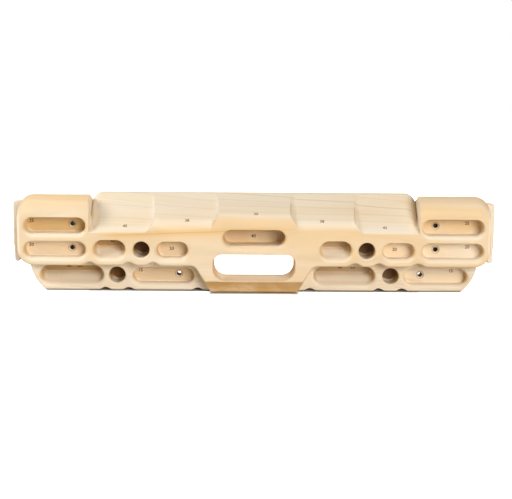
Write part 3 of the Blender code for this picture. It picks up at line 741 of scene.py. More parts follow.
def sawn_board(name, half_outline, near, thickness, rim):
    """Extrudes a mirrored outline and rounds the edges of its front face."""
    mesh = bmesh.new()
    outline = half_outline + [(-x, z) for x, z in reversed(half_outline) if x > 0]
    face = mesh.faces.new([mesh.verts.new(place(x, near, z)) for x, z in outline])
    grown = bmesh.ops.extrude_face_region(mesh, geom=[face])["geom"]
    moved = [item for item in grown if isinstance(item, bmesh.types.BMVert)]
    bmesh.ops.translate(mesh, verts=moved, vec=(0, thickness, 0))
    bmesh.ops.dissolve_degenerate(mesh, dist=SAME_POINT, edges=mesh.edges)
    face_y = place(0, near, 0).y
    in_front = {vert for vert in mesh.verts if abs(vert.co.y - face_y) < SAME_POINT}
    rim_edges = [edge for edge in mesh.edges if in_front.issuperset(edge.verts)]
    bmesh.ops.bevel(mesh, geom=rim_edges, offset=rim, segments=RIM_STEPS, profile=0.5, affect="EDGES",
                    material=-1, clamp_overlap=True)
    bmesh.ops.recalc_face_normals(mesh, faces=mesh.faces)
    return finished(mesh, name, bpy.context.scene.collection)


print("front rim in mm:", 1000 * FRONT_RIM)

# %% Rout a board
SHARP_ANGLE = math.radians(38)
FACE_WEIGHT = 100


def rout(blank, tools):
    """Cuts a blank with all its cutters at once and shades the result."""
    bits = bpy.data.collections.new(f"{blank.name}_bits")
    for tool in tools:
        bits.objects.link(tool)
    cut = blank.modifiers.new("rout", "BOOLEAN")
    cut.solver = "EXACT"
    cut.operand_type = "COLLECTION"
    cut.collection = bits
    graph = bpy.context.evaluated_depsgraph_get()
    routed = bpy.data.meshes.new_from_object(blank.evaluated_get(graph))
    blank.modifiers.clear()
    blank.data = routed
    routed.shade_smooth()
    routed.set_sharp_from_angle(angle=SHARP_ANGLE)
    weigh = blank.modifiers.new("weigh", "WEIGHTED_NORMAL")
    weigh.keep_sharp = True
    weigh.weight = FACE_WEIGHT
    print(blank.name, "has", len(routed.polygons), "faces")
    return blank


shared_tools = [*pockets, *screw_cutters, handle_hole, handle_cove]
print("cutters:", len(shared_tools), "and one for the top")

# %% Make the three boards
front_thickness = FRONT_THICKNESS - GLUE_LINE
front_blank = sawn_board("front_lamination", front_outline(), 0.0, front_thickness, FRONT_RIM)
front = rout(front_blank, [rounded_top, *shared_tools])
middle_thickness = REAR_FACE_DEPTH - FRONT_THICKNESS - GLUE_LINE
middle_blank = sawn_board("middle_lamination", middle_outline(), FRONT_THICKNESS, middle_thickness, BACK_RIM)
middle = rout(middle_blank, [rounded_top, *shared_tools])
rear_thickness = BOARD_DEPTH - REAR_FACE_DEPTH
rear_blank = sawn_board("rear_lamination", rear_outline(), REAR_FACE_DEPTH, rear_thickness, BACK_RIM)
rear = rout(rear_blank, [wide_top, *shared_tools])
for tool in list(cutters.objects):
    bpy.data.objects.remove(tool)

for board, node, slot in ((front, "front_board", "front_wood"), (middle, "middle_board", "middle_wood"),
                          (rear, "rear_board", "rear_wood")):
    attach(board, "root")
    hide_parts(node)

# %% [markdown]
# The wood needs a fair amount of arithmetic, and node trees are hard to read. So a socket is wrapped in a
# small class whose operators add Math nodes: ring * 2 - 1 then means what it says. Every other node comes
# from one method, which sets the node up first and feeds its sockets afterwards.


# %% Write shader maths as expressions
class Wire:
    """A shader socket on which Python's operators add Math nodes."""

    def __init__(self, finish, socket):
        self.finish = finish
        self.socket = socket

    def work(self, operation, *others):
        """Adds a Math node whose first value is this socket."""
        return self.finish.add("ShaderNodeMath", {"operation": operation}, dict(enumerate((self, *others))))

    def __add__(self, other):
        return self.work("ADD", other)

    def __sub__(self, other):
        return self.work("SUBTRACT", other)

    def __rsub__(self, other):
        return self.finish.add("ShaderNodeMath", {"operation": "SUBTRACT"}, {0: other, 1: self})

    def __mul__(self, other):
        return self.work("MULTIPLY", other)

    def __truediv__(self, other):
        return self.work("DIVIDE", other)

    def __pow__(self, other):
        return self.work("POWER", other)

    def __abs__(self):
        return self.work("ABSOLUTE")

    __radd__ = __add__
    __rmul__ = __mul__


print("sockets can now be added, subtracted, multiplied, divided and raised to a power")


# %% Build a material node by node
class Finish:
    """A material or a world under construction."""

    def __init__(self, block, shader="Principled BSDF"):
        block.use_nodes = True
        self.block = block
        self.tree = block.node_tree
        self.shader = self.tree.nodes[shader]

    def add(self, kind, settings, sockets, output=0):
        """Adds a node, sets it up, feeds its sockets and returns one of its outputs."""
        node = self.tree.nodes.new(kind)
        for name, value in settings.items():
            setattr(node, name, value)
        for name, value in sockets.items():
            self.feed(node.inputs[name], value)
        return Wire(self, node.outputs[output])

    def feed(self, socket, value):
        if isinstance(value, Wire):
            self.tree.links.new(value.socket, socket)
        else:
            socket.default_value = value

    def surface(self, sockets):
        """Feeds the shader itself and returns what it belongs to."""
        for name, value in sockets.items():
            self.feed(self.shader.inputs[name], value)
        return self.block

    def noise(self, vector, factors, detail=2.0, rough=0.5):
        """Noise from 0 to 1 with its own scale along each axis."""
        scaled = self.add("ShaderNodeVectorMath", {"operation": "MULTIPLY"}, {0: vector, 1: factors})
        sockets = {"Vector": scaled, "Scale": 1.0, "Detail": detail, "Roughness": rough}
        return self.add("ShaderNodeTexNoise", {}, sockets)

    def bands(self, value, scale, detail=2.0, rough=0.5):
        """Noise from 0 to 1 along a single value."""
        sockets = {"W": value, "Scale": scale, "Detail": detail, "Roughness": rough}
        return self.add("ShaderNodeTexNoise", {"noise_dimensions": "1D"}, sockets)

    def ease(self, value, low, high, new_low=0.0, new_high=1.0):
        """Smooth step of a value from one range to another."""
        sockets = {"Value": value, "From Min": low, "From Max": high, "To Min": new_low, "To Max": new_high}
        return self.add("ShaderNodeMapRange", {"interpolation_type": "SMOOTHSTEP"}, sockets)

    def mix(self, factor, first, second, blend="MIX"):
        """Mix of two colours."""
        settings = {"data_type": "RGBA", "blend_type": blend}
        return self.add("ShaderNodeMix", settings, {0: factor, 6: first, 7: second}, output=2)

    def grey(self, value):
        return self.add("ShaderNodeCombineColor", {}, {0: value, 1: value, 2: value})


print("a finish can add noise, bands, smooth steps, mixed colours and greys")


# %% Write colours as on a screen
def rgba(red, green, blue):
    """A colour written as on a screen, from 0 to 255, turned into the shader's linear values."""
    shares = [value / 255 for value in (red, green, blue)]
    linear = [((share + 0.055) / 1.055) ** 2.4 if share > 0.04045 else share / 12.92 for share in shares]
    return (*linear, 1.0)


print("a mid grey on screen is", round(rgba(128, 128, 128)[0], 3), "in the shader")

# %% [markdown]
# Wood is coloured here by where a point lies and which way it faces. A router that cuts into a board brings
# up deeper rings, and a slope shows them at a slant, paler or browner than the face. So the material knows
# its board: the depth behind the face, the height and the facing are kept as wires for all later steps.

# %% Read where a point of the wood lies
FADE = 0.002
WIDE_FADE = 0.004
SKIN = 0.0002
ROW_SPLIT = 0.046
POCKET_CEILING = UPPER_ROW + POCKET_HEIGHT / 2 + 0.001


class Wood(Finish):
    """Wood of one board, with wires for the place and the facing of the shaded point."""

    def __init__(self, name):
        super().__init__(bpy.data.materials.new(name))
        self.here = self.add("ShaderNodeTexCoord", {}, {}, "Object")
        self.x, y, self.z = (self.add("ShaderNodeSeparateXYZ", {}, {0: self.here}, axis) for axis in "XYZ")
        self.side = abs(self.x)
        self.depth = y - FACE_Y
        self.lower = self.ease(self.z, ROW_SPLIT + FADE, ROW_SPLIT - FADE)
        self.inside = self.depth - self.lower * FRONT_THICKNESS
        self.before_back = self.ease(self.depth, BOARD_DEPTH - SKIN, BOARD_DEPTH - 3 * SKIN)
        self.beside_handle = self.ease(self.side, HANDLE_HALF_WIDTH, HANDLE_HALF_WIDTH + WIDE_FADE)
        self.below_ceiling = self.ease(self.z, POCKET_CEILING + FADE, POCKET_CEILING)
        facing = {0: self.add("ShaderNodeTexCoord", {}, {}, "Normal")}
        self.sideways, self.upwards = (self.add("ShaderNodeSeparateXYZ", {}, facing, axis) for axis in "XZ")


print("pockets end below", round(1000 * POCKET_CEILING, 1), "mm")

# %% [markdown]
# The three boards come from one thick trunk and are sawn almost along its growth rings, so the rings lie
# nearly parallel to the face. On the flat front they show as a few wide, lazy bands. On the ledges, which cut
# through them at an angle, they come closer together and run on from ledge to ledge, like contour lines on a
# map. That happens by itself when the rings are built in space, as distances from the trunk's middle. Noise
# along that one distance gives bands of uneven width, and the same noise at a finer scale gives the streaks
# inside them.

# %% Grow the rings
PITH_DEPTH = 0.250
PITH_HEIGHT = 0.085
RING_WIDTH = 0.0105
DRIFT = 0.010
DRIFT_WITH_DEPTH = 1.4
WANDER = 0.016
WANDER_SCALE = (2.2, 7.0, 7.0)
RIPPLE = 0.0022
RIPPLE_SCALE = (9.0, 40.0, 40.0)
LATE_WOOD_START = 0.80
LATE_WOOD_PEAK = 0.97
FAINTEST_LINE = 0.25
CONTOUR_SCALE = 1.9
CONTOUR_WIDTH = 0.030
CONTOUR_WEIGHT = 0.40


def grow_rings(wood):
    """Distance from the trunk's middle, counted in rings, and how far that middle wanders in metres."""
    wander = (wood.noise(wood.here, WANDER_SCALE) - 0.5) * WANDER
    wander = wander + (wood.noise(wood.here, RIPPLE_SCALE) - 0.5) * RIPPLE
    across = wood.depth - PITH_DEPTH
    up = wood.z - PITH_HEIGHT
    drift = wood.x * (DRIFT + wood.depth * DRIFT_WITH_DEPTH)
    radius = (across * across + up * up) ** 0.5 - drift + wander
    return radius / RING_WIDTH, wander


def grain_lines(wood, ring):
    """Thin lines: the late wood at the end of each ring, and finer contours between them."""
    share = ring.work("FRACT")
    strength = wood.add("ShaderNodeTexWhiteNoise", {"noise_dimensions": "1D"}, {"W": ring.work("FLOOR")})
    late = wood.ease(share, LATE_WOOD_START, LATE_WOOD_PEAK) * wood.ease(share, 1.0, LATE_WOOD_PEAK)
    late = late * (FAINTEST_LINE + strength * (1 - FAINTEST_LINE))
    level = abs(wood.bands(ring, CONTOUR_SCALE, detail=1.0) - 0.5)
    return late.work("MAXIMUM", wood.ease(level, CONTOUR_WIDTH, 0.0) * CONTOUR_WEIGHT)


print("ring width in mm:", 1000 * RING_WIDTH)

# %% [markdown]
# Left of the middle a yellow stripe of heartwood crosses the face with a fine dark line along it. It stays in
# the outermost millimetres and climbs a little to the right. A distance from a sloping line is enough for it,
# with the rings' own wander, so the stripe sways as they do.

# %% Lay the heartwood stripe
HEART_LEFT = 0.0825
HEART_RISE = 0.034
HEART_SWAY = 0.5
HEART_START = -0.230
HEART_END = 0.080
HEART_RUN_IN = 0.04
HEART_RUN_OUT = 0.07
HEART_HALF_WIDTH = 0.0065
HEART_CORE = 0.3
HEART_DEPTH = (0.009, 0.003)
HEART_LINE = (0.0011, 0.0003)


def heart_stripe(wood, wander):
    """The stripe and the line along it, as two masks."""
    climb = (wood.x - HEART_START) * HEART_RISE
    distance = abs(wood.z - HEART_LEFT - climb + wander * HEART_SWAY)
    span = wood.ease(wood.x, HEART_START, HEART_START + HEART_RUN_IN) * wood.ease(wood.depth, *HEART_DEPTH)
    span = span * wood.ease(wood.x, HEART_END, HEART_END - HEART_RUN_OUT)
    stripe = wood.ease(distance, HEART_HALF_WIDTH, HEART_HALF_WIDTH * HEART_CORE)
    return stripe * span, wood.ease(distance, *HEART_LINE) * span


print("heartwood stripe in mm:", round(2000 * HEART_HALF_WIDTH), "wide")

# %% [markdown]
# The ledges are paler than the face, because they are cut deep into the board. Their border is sharp on the
# outer ledges, which end in a small lip, and soft on the others. In the pockets a floor, a climbing ramp and
# the upright wall behind the ramp each have their own tone, and these tones are mostly painted light and
# shade: the ramps, which face up, and the shallow floors are painted paler, as if lit. All of these are
# masks from 0 to 1, and the ranges in which they fade are named here.

# %% Mark out the ledges and the pockets
LEDGE_FOOT = 0.0965
OUTER_DROP = 0.0095
LIP_INNER = 0.0070
LIP_OUTER = 0.0015
LIP_SHARE = (0.05, 1.10)
SOFT_BORDER = 0.012
SHARP_BORDER = 0.002
BORDER_CHANGE = JUG_INNER - 0.100
END_STRIP = 0.332
LOW_FACE_NEAR = (-0.003, -0.001)
LOW_FACE_FAR = (0.005, 0.001)
LOW_FACE_TONE = 0.8
HOLLOW_START = (0.004, 0.014)
RAMP_FACING = (0.25, 0.60)
SHALLOW = (0.0245, 0.0215)
SHALLOW_LIGHT = 0.75


def mark_ledges(wood):
    """1 on the sloping ledges down to their lips."""
    outer = wood.ease(wood.side, SLOPER_STEPS[1] - FADE / 2, SLOPER_STEPS[1] + WIDE_FADE)
    lip = LIP_INNER - outer * (LIP_INNER - LIP_OUTER)
    border = wood.ease(wood.side, BORDER_CHANGE, BORDER_CHANGE + WIDE_FADE, SOFT_BORDER, SHARP_BORDER)
    above_foot = wood.ease((wood.z + outer * OUTER_DROP - LEDGE_FOOT) / border, 0.0, 1.0)
    between_jugs = wood.ease(wood.side, JUG_INNER, JUG_INNER - WIDE_FADE)
    return wood.ease(wood.depth / lip, *LIP_SHARE) * above_foot * between_jugs * wood.before_back


def mark_pockets(wood, ledge):
    """Masks of the ramps, of all other walls and floors in the pockets, and of all that is pale, with ramps
    and shallow floors painted pale as if lit.
    """
    low_face = wood.lower * wood.ease(wood.inside, *LOW_FACE_NEAR) * wood.ease(wood.inside, *LOW_FACE_FAR)
    hollow = wood.ease(wood.inside, *HOLLOW_START) * wood.below_ceiling * (1.0 - ledge)
    hollow = hollow * wood.ease(wood.side, END_STRIP, END_STRIP - FADE) * wood.before_back
    ramp = wood.ease(wood.upwards, *RAMP_FACING) * wood.beside_handle * hollow
    hollow = hollow * (1.0 - ramp)
    # The pale mask holds the ledges' own paleness, the lower face, and painted light on the ramps and shallow
    # floors.
    pale = ledge.work("MAXIMUM", low_face * LOW_FACE_TONE).work("MAXIMUM", ramp)
    return ramp, hollow, pale.work("MAXIMUM", hollow * wood.ease(wood.inside, *SHALLOW) * SHALLOW_LIGHT)


print("ledges are pale above", round(1000 * LEDGE_FOOT), "mm")

# %% [markdown]
# The colours come on in the order in which they lie in the wood: first pale and warm patches, then the yellow
# bands of the rings and of the heartwood, then the thin lines, which show best on pale ledges. Then the
# pockets get their tones: ramps and lips are painted pale as highlights, and the brown floors, which are
# darker on the left, are partly the wood's colour and partly painted shade.

# %% Mix the colours of the plain wood
PALE = rgba(244, 228, 203)
WARM = rgba(240, 212, 172)
YELLOW = rgba(239, 198, 137)
LINE = rgba(190, 156, 104)
PATCH_SCALE = (4.0, 20.0, 20.0)
WARM_PATCH = (0.20, 0.60)
PATCH_LOSS_ON_PALE = 0.25
BAND_SCALE = 0.9
YELLOW_BAND = (0.48, 0.78)
BAND_TONE = 0.70
BAND_LOSS_ON_PALE = 0.50
STRIPE_TONE = 0.80
STRIPE_LINE_TONE = 0.35
LINE_TONE = 0.12
LINE_ALONG_X = (-0.15, 0.15, 0.20, 0.36)


def plain_wood(wood, ring, wander, pale):
    """Colour of the grain before any tone of the pockets."""
    patch = wood.noise(wood.here, PATCH_SCALE, detail=3.0)
    colour = wood.mix(wood.ease(patch - pale * PATCH_LOSS_ON_PALE, *WARM_PATCH), PALE, WARM)
    band = wood.ease(wood.bands(ring, BAND_SCALE, detail=1.0), *YELLOW_BAND)
    colour = wood.mix(band * (BAND_TONE - pale * BAND_LOSS_ON_PALE), colour, YELLOW)
    stripe, stripe_line = heart_stripe(wood, wander)
    colour = wood.mix(stripe * STRIPE_TONE, colour, YELLOW)
    weight = LINE_TONE + pale * wood.ease(wood.x, *LINE_ALONG_X)
    return wood.mix(grain_lines(wood, ring) * weight + stripe_line * STRIPE_LINE_TONE, colour, LINE)


print("pale wood in the shader:", [round(value, 2) for value in PALE[:3]])

# %% Tone the pockets with painted light and shade
POCKET_BROWN_AND_SHADE = rgba(212, 170, 98)
PAINTED_HIGHLIGHT = rgba(250, 238, 218)
PAINTED_SHADE_BROWN = rgba(112, 74, 34)
RAMP_LIGHT = (0.029, 0.016, 0.25, 0.85)
LIP_FACING = (0.10, 0.55)
LIP_DEPTH = (0.010, 0.006)
LIP_LIGHT = 0.55
STRIP_LIGHT = 0.6
BROWN_DEPTH = (0.0215, 0.0245)
BROWN_ALONG_X = (-0.20, -0.10, 0.70, 0.28)
BROWN_PATCH_START = (-0.190, -0.175)
BROWN_PATCH_END = (-0.06, -0.08)
BROWN_PATCH_TONE = 0.40
FAR_WALL_SHADE = 0.30


def tone_pockets_with_painted_light(wood, colour, ramp, hollow):
    """Painted highlights on the ramps, lips and strips at the ends, and brown floors and walls, partly painted
    shade.
    """
    # Ramps, lips that face up and the end strips are painted pale: a painted highlight where light falls.
    slope = ramp * wood.ease(wood.inside, *RAMP_LIGHT)
    lips = wood.ease(wood.upwards, *LIP_FACING) * wood.below_ceiling * wood.beside_handle
    lips = lips * wood.ease(wood.inside, *LIP_DEPTH)
    strip = wood.ease(wood.side, END_STRIP, END_STRIP + FADE) * wood.before_back
    colour = wood.mix(slope.work("MAXIMUM", lips * LIP_LIGHT) + strip * STRIP_LIGHT, colour, PAINTED_HIGHLIGHT)
    # Floors turn browner with depth and towards the left, partly the wood's colour and partly painted shade.
    floor = wood.ease(wood.inside, *BROWN_DEPTH) * wood.ease(wood.x, *BROWN_ALONG_X)
    patch = wood.ease(wood.x, *BROWN_PATCH_START) * wood.ease(wood.x, *BROWN_PATCH_END)
    colour = wood.mix(hollow * floor.work("MAXIMUM", patch * BROWN_PATCH_TONE), colour, POCKET_BROWN_AND_SHADE)
    # The upright wall behind a ramp gets painted shade.
    far_wall = hollow * wood.ease(wood.inside, SLOPED_DEPTH - FADE, SLOPED_DEPTH - FADE / 2)
    return wood.mix(far_wall * wood.beside_handle * FAR_WALL_SHADE, colour, PAINTED_SHADE_BROWN)


print("pocket floors in the shader:", [round(value, 2) for value in POCKET_BROWN_AND_SHADE[:3]])

# %% [markdown]
# End grain drinks in light and looks darker, so walls that face along the board are browner; the same tint
# also paints the shade at the pockets' ends. The jugs' inner walls are left out and painted paler instead, as
# if lit. The steps between the ledges get a painted highlight on the left, where they face the side light, and
# a painted line of shade on the right. The cove under the bar is the brownest place, in blotches, partly the
# wood's colour and partly painted shade under the bar.

# %% Tone the walls and the cove, with painted light and shade
COVE_BROWN_AND_SHADE = rgba(204, 160, 100)
END_GRAIN_AND_SHADE = rgba(226, 188, 132)
STEP_LEFT = (-0.25, -0.60)
STEP_LEFT_LIGHT = 0.85
STEP_RIGHT = (0.40, 0.80)
STEP_RIGHT_SHADE = 0.35
JUG_WALL_FACING = (0.60, 0.90)
JUG_WALL_FOOT = (0.085, 0.095)
JUG_WALL_SIDE = (JUG_INNER + 0.015, JUG_INNER + 0.005)
JUG_WALL_LIGHT = 0.85
END_FACING = (0.45, 0.95)
END_HEIGHT = (0.100, 0.085, 0.25, 1.0)
COVE_ROOF = (0.0186, 0.0160)
COVE_ENDS = (0.090, 0.066)
COVE_BACK = (0.0105, 0.0085)
BLOTCH_SCALE = (26.0, 60.0, 60.0)
BLOTCHES = (0.25, 0.65, 0.35, 1.0)


def tone_walls_with_painted_light(wood, colour, ledge, end_grain_shade_tone):
    """Painted highlight and shade on the steps, painted light on the jugs' inner walls, and end grain with
    painted shade.
    """
    # Steps facing left get a painted highlight, steps facing right a painted line of shade.
    colour = wood.mix(ledge * wood.ease(wood.sideways, *STEP_LEFT) * STEP_LEFT_LIGHT, colour, PAINTED_HIGHLIGHT)
    colour = wood.mix(ledge * wood.ease(wood.sideways, *STEP_RIGHT) * STEP_RIGHT_SHADE, colour, LINE)
    along = abs(wood.sideways)
    # The jugs' inner walls are painted paler, as if lit.
    lit_jug_wall = wood.ease(along, *JUG_WALL_FACING) * wood.ease(wood.z, *JUG_WALL_FOOT)
    lit_jug_wall = lit_jug_wall * wood.ease(wood.side, *JUG_WALL_SIDE) * (1.0 - ledge)
    colour = wood.mix(lit_jug_wall * JUG_WALL_LIGHT, colour, PAINTED_HIGHLIGHT)
    # End grain is darker, and this tint also paints the shade at the pockets' ends.
    end_grain_and_shade = wood.ease(along, *END_FACING) * wood.ease(wood.z, *END_HEIGHT) * (1.0 - ledge)
    return wood.mix(end_grain_and_shade * end_grain_shade_tone, colour, END_GRAIN_AND_SHADE)


def tone_cove_with_painted_shade(wood, colour):
    """Blotches of brown in the cove under the bar, partly the wood's colour and partly painted shade."""
    blotch = wood.noise(wood.here, BLOTCH_SCALE, detail=4.0, rough=0.65)
    cove = wood.ease(wood.z, *COVE_ROOF) * wood.ease(wood.side, *COVE_ENDS)
    cove = cove * wood.ease(wood.depth, *COVE_BACK)
    # Painted shade under the bar, mixed with the wood's own brown.
    return wood.mix(cove * wood.ease(blotch, *BLOTCHES), colour, COVE_BROWN_AND_SHADE)


print("cove tone reaches", round(1000 * COVE_ENDS[0]), "mm from the middle")

# %% [markdown]
# The holes are darkened with painted shade. The one-finger holes are painted darkest where their walls turn
# away from the light, and the screw holes have a thin brown ring at the countersink and a bore painted dark as
# shade. All of them run straight to the back, so the distance from an axis finds them.

# %% Paint shade into the drilled holes
RIM_BROWN = rgba(140, 104, 66)
SHADED = rgba(70, 46, 24)
MONOS = (
    (-UPPER_MONO, MIDDLE_ROW, 0.0), (UPPER_MONO, MIDDLE_ROW, 0.0),
    (-LOWER_MONO, LOWER_ROW, FRONT_THICKNESS), (LOWER_MONO, LOWER_ROW, FRONT_THICKNESS),
)
MONO_EDGE = (0.0010, 0.0004)
MONO_START = 0.009
MONO_FULL = 0.022
MONO_FACING = (0.10, 0.70, 0.80, 0.05)
RIM_EDGE = (0.0006, 0.0001)
RIM_START = 0.003
RIM_FULL = 0.001
RIM_TONE = 0.75
BORE_EDGE = 0.0004


def off_axis(wood, centre_x, centre_z):
    """Distance from the axis of a hole that runs straight to the back."""
    out_x = wood.x - centre_x
    out_z = wood.z - centre_z
    return (out_x * out_x + out_z * out_z) ** 0.5


def shade_holes(wood, colour):
    """Painted shade on the walls of the one-finger holes, and brown rims and bores painted dark as shade at
    the screw holes.
    """
    for x, z, mouth in MONOS:
        drilled = wood.ease(off_axis(wood, x, z) - MONO_DIAMETER / 2, *MONO_EDGE) * wood.before_back
        drilled = drilled * wood.ease(wood.depth, mouth + MONO_START, mouth + MONO_FULL)
        # Painted shade in the one-finger hole, darkest where its wall faces down.
        colour = wood.mix(drilled * wood.ease(wood.upwards, *MONO_FACING), colour, PAINTED_SHADE_BROWN)
    for x, z, floor_depth in SCREWS:
        out = off_axis(wood, x, z)
        rim = wood.ease(abs(out - COUNTERSINK_DIAMETER / 2), *RIM_EDGE)
        rim = rim * wood.ease(wood.depth, floor_depth - RIM_START, floor_depth - RIM_FULL)
        colour = wood.mix(rim * RIM_TONE, colour, RIM_BROWN)
        bore = wood.ease(out, SCREW_DIAMETER / 2 + BORE_EDGE, SCREW_DIAMETER / 2)
        # The bore is painted dark as shade.
        colour = wood.mix(bore, colour, SHADED)
    return colour


print("drilled holes:", len(MONOS) + len(SCREWS))

# %% [markdown]
# Last, the tones are put together. Streaks along the rings, fibres and flecks make the colour a little
# lighter and darker, a thin shadow lies where the board touches the floor, and the fibres also raise the
# surface by a fraction of a millimetre. Sanded bare wood is dull, so it is rough and hardly reflects.

# %% Put the wood together
LIGHTNESS = 0.98
STREAK_SCALE = 7.0
STREAK_DEPTH = 0.08
FIBRE_SCALE = (30.0, 1400.0, 1400.0)
FIBRE_DEPTH = 0.035
FLECK_SCALE = (70.0, 600.0, 600.0)
FLECK_DEPTH = 0.02
ROUGHNESS = 0.60
FIBRE_ROUGHNESS = 0.12
FIBRE_RELIEF = 0.0002
FOOT_SHADE = (0.0008, 0.0034, 0.22, 1.0)


def grow_wood(name, tone, end_grain_shade_tone):
    """Wood of one board, with its tone and how much darker its end grain is, painted shade included."""
    wood = Wood(name)
    ring, wander = grow_rings(wood)
    ledge = mark_ledges(wood)
    ramp, hollow, pale = mark_pockets(wood, ledge)
    colour = plain_wood(wood, ring, wander, pale)
    colour = tone_pockets_with_painted_light(wood, colour, ramp, hollow)
    colour = tone_walls_with_painted_light(wood, tone_cove_with_painted_shade(wood, colour), ledge, end_grain_shade_tone)
    colour = shade_holes(wood, colour)
    streak = wood.bands(ring, STREAK_SCALE, detail=3.0, rough=0.6) - 0.5
    fibre = wood.noise(wood.here, FIBRE_SCALE, detail=3.0, rough=0.7)
    fleck = wood.noise(wood.here, FLECK_SCALE, detail=2.0) - 0.5
    shade = LIGHTNESS + streak * STREAK_DEPTH + (fibre - 0.5) * FIBRE_DEPTH + fleck * FLECK_DEPTH
    shade = shade * tone * wood.ease(wood.z, *FOOT_SHADE)
    relief = wood.add("ShaderNodeBump", {}, {"Strength": 0.2, "Distance": FIBRE_RELIEF, "Height": fibre})
    return wood.surface({
        "Base Color": wood.mix(1.0, colour, wood.grey(shade), blend="MULTIPLY"),
        "Specular IOR Level": 0.2,
        "Roughness": ROUGHNESS + (fibre - 0.5) * FIBRE_ROUGHNESS,
        "Normal": relief,
    })


for board, tone, end_grain_shade_tone in ((front, 1.0, 0.85), (middle, 0.985, 0.95), (rear, 0.995, 0.90)):
    board.data.materials.clear()
    board.data.materials.append(grow_wood(f"{board.name}_wood", tone, end_grain_shade_tone))
    print(board.name, "is made of", board.data.materials[0].name)

# %% [markdown]
# Small burnt numbers tell a climber the slope of each ledge in degrees and the depth of each pocket in
# millimetres. Each is placed where a ray from the camera through its spot in the photo meets the wood. The
# digits are cut into narrow strips and laid on the surface point by point, so they follow a rounded lip.

# %% Name the numbers and their places
DIGIT_SIZE = 0.0066
DIGIT_BOLDNESS = 0.00010
DIGIT_LIFT = 0.00003
DIGIT_THICKNESS = 0.00006
STRIP = 0.0004
REACH = 0.004
SIGHT = 10.0
PHOTO_HEIGHT = 499
ANGLE_NUMBERS = (
    ("45", 125.0, 226.0), ("38", 187.0, 220.5), ("30", 256.0, 214.0),
    ("38", 322.0, 221.5), ("45", 385.0, 228.0),
)
DEPTH_NUMBERS = (
    ("25", 31.5, 220.5), ("25", 467.0, 223.5), ("20", 31.5, 244.5), ("20", 467.0, 247.0),
    ("20", 171.5, 248.5), ("20", 394.5, 249.5), ("40", 253.5, 236.0), ("15", 140.5, 270.0),
    ("15", 450.5, 271.0), ("30", 69.0, 265.5), ("25", 80.0, 265.5), ("30", 340.0, 267.0),
    ("25", 352.5, 267.0), ("30", 112.5, 240.5),
)
print("numbers:", len(ANGLE_NUMBERS) + len(DEPTH_NUMBERS))

# %% Find the wood under a number
surfaces = []
graph = bpy.context.evaluated_depsgraph_get()
for board in (front, middle, rear):
    solid = board.evaluated_get(graph).to_mesh()
    corners = [vert.co for vert in solid.vertices]
    surfaces.append(BVHTree.FromPolygons(corners, [face.vertices for face in solid.polygons]))


def first_hit(start, direction, reach):
    """Nearest point of the wood along a ray, with the way it faces."""
    hits = [tree.ray_cast(start, direction, reach) for tree in surfaces]
    hits = [hit for hit in hits if hit[0] is not None]
    return min(hits, key=lambda hit: hit[3])[:2] if hits else (None, None)


print("surfaces to burn into:", len(surfaces))


# %% Cut a number into strips
def digits_mesh(text):
    """Flat outline of a number, centred on the origin and cut into strips."""
    curve = bpy.data.curves.new(text, "FONT")
    curve.body = text
    curve.size = DIGIT_SIZE
    curve.align_x = "CENTER"
    curve.align_y = "CENTER"
    curve.resolution_u = 4
    curve.offset = DIGIT_BOLDNESS
    holder = bpy.data.objects.new(text, curve)
    bpy.context.scene.collection.objects.link(holder)
    flat = bpy.data.meshes.new_from_object(holder.evaluated_get(bpy.context.evaluated_depsgraph_get()))
    bpy.data.objects.remove(holder)
    mesh = bmesh.new()
    mesh.from_mesh(flat)
    strips = int(DIGIT_SIZE / STRIP)
    for cut in range(-strips, strips):
        geometry = [*mesh.verts, *mesh.edges, *mesh.faces]
        bmesh.ops.bisect_plane(mesh, geom=geometry, plane_co=(0, cut * STRIP, 0), plane_no=(0, 1, 0))
    return mesh


print("strips are", round(1000 * STRIP, 1), "mm wide")


# %% Lay a number on the wood
def laid_number(text, centre, normal):
    """Thin plate of a number, laid on the wood round a point."""
    right = Vector((0, 0, 1)).cross(normal).normalized()
    rise = normal.cross(right)
    part = digits_mesh(text)
    for vert in part.verts:
        spot = centre + right * vert.co.x + rise * vert.co.y
        met, facing = first_hit(spot + normal * REACH, -normal, 2 * REACH)
        vert.co = met + facing * DIGIT_LIFT if met else spot + normal * DIGIT_LIFT
    bmesh.ops.recalc_face_normals(part, faces=part.faces)
    if sum(face.normal.dot(normal) for face in part.faces) < 0:
        bmesh.ops.reverse_faces(part, faces=part.faces)
    bmesh.ops.solidify(part, geom=part.faces, thickness=DIGIT_THICKNESS)
    plate = bpy.data.meshes.new(text)
    part.to_mesh(plate)
    part.free()
    return plate


print("numbers lie", round(1000 * DIGIT_LIFT, 2), "mm above the wood")

# %% Burn in the numbers
CHAR_SCALE = (300.0, 900.0, 900.0)
ANGLE_BROWNS = (rgba(112, 70, 30), rgba(138, 92, 44))
DEPTH_BROWNS = (rgba(70, 38, 12), rgba(96, 56, 22))


def burn(name, numbers):
    """All numbers of one kind as one piece."""
    whole = bmesh.new()
    for text, u, v in numbers:
        sight = Vector((u - PHOTO_WIDTH / 2, PHOTO_HEIGHT / 2 - v, -FOCAL_PIXELS))
        direction = (camera.matrix_world.to_3x3() @ sight).normalized()
        centre, normal = first_hit(camera.matrix_world.translation, direction, SIGHT)
        whole.from_mesh(laid_number(text, centre, normal))
        print(text, "at", [round(1000 * value, 1) for value in centre])
    made = finished(whole, name, bpy.context.scene.collection)
    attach(made, "root")
    return made


def burnt_wood(name, dark, light):
    """Scorched wood between two browns."""
    burnt = Finish(bpy.data.materials.new(name))
    char = burnt.noise(burnt.add("ShaderNodeTexCoord", {}, {}, "Object"), CHAR_SCALE)
    colour = burnt.mix(char, dark, light)
    return burnt.surface({"Base Color": colour, "Roughness": 0.8, "Specular IOR Level": 0.1})


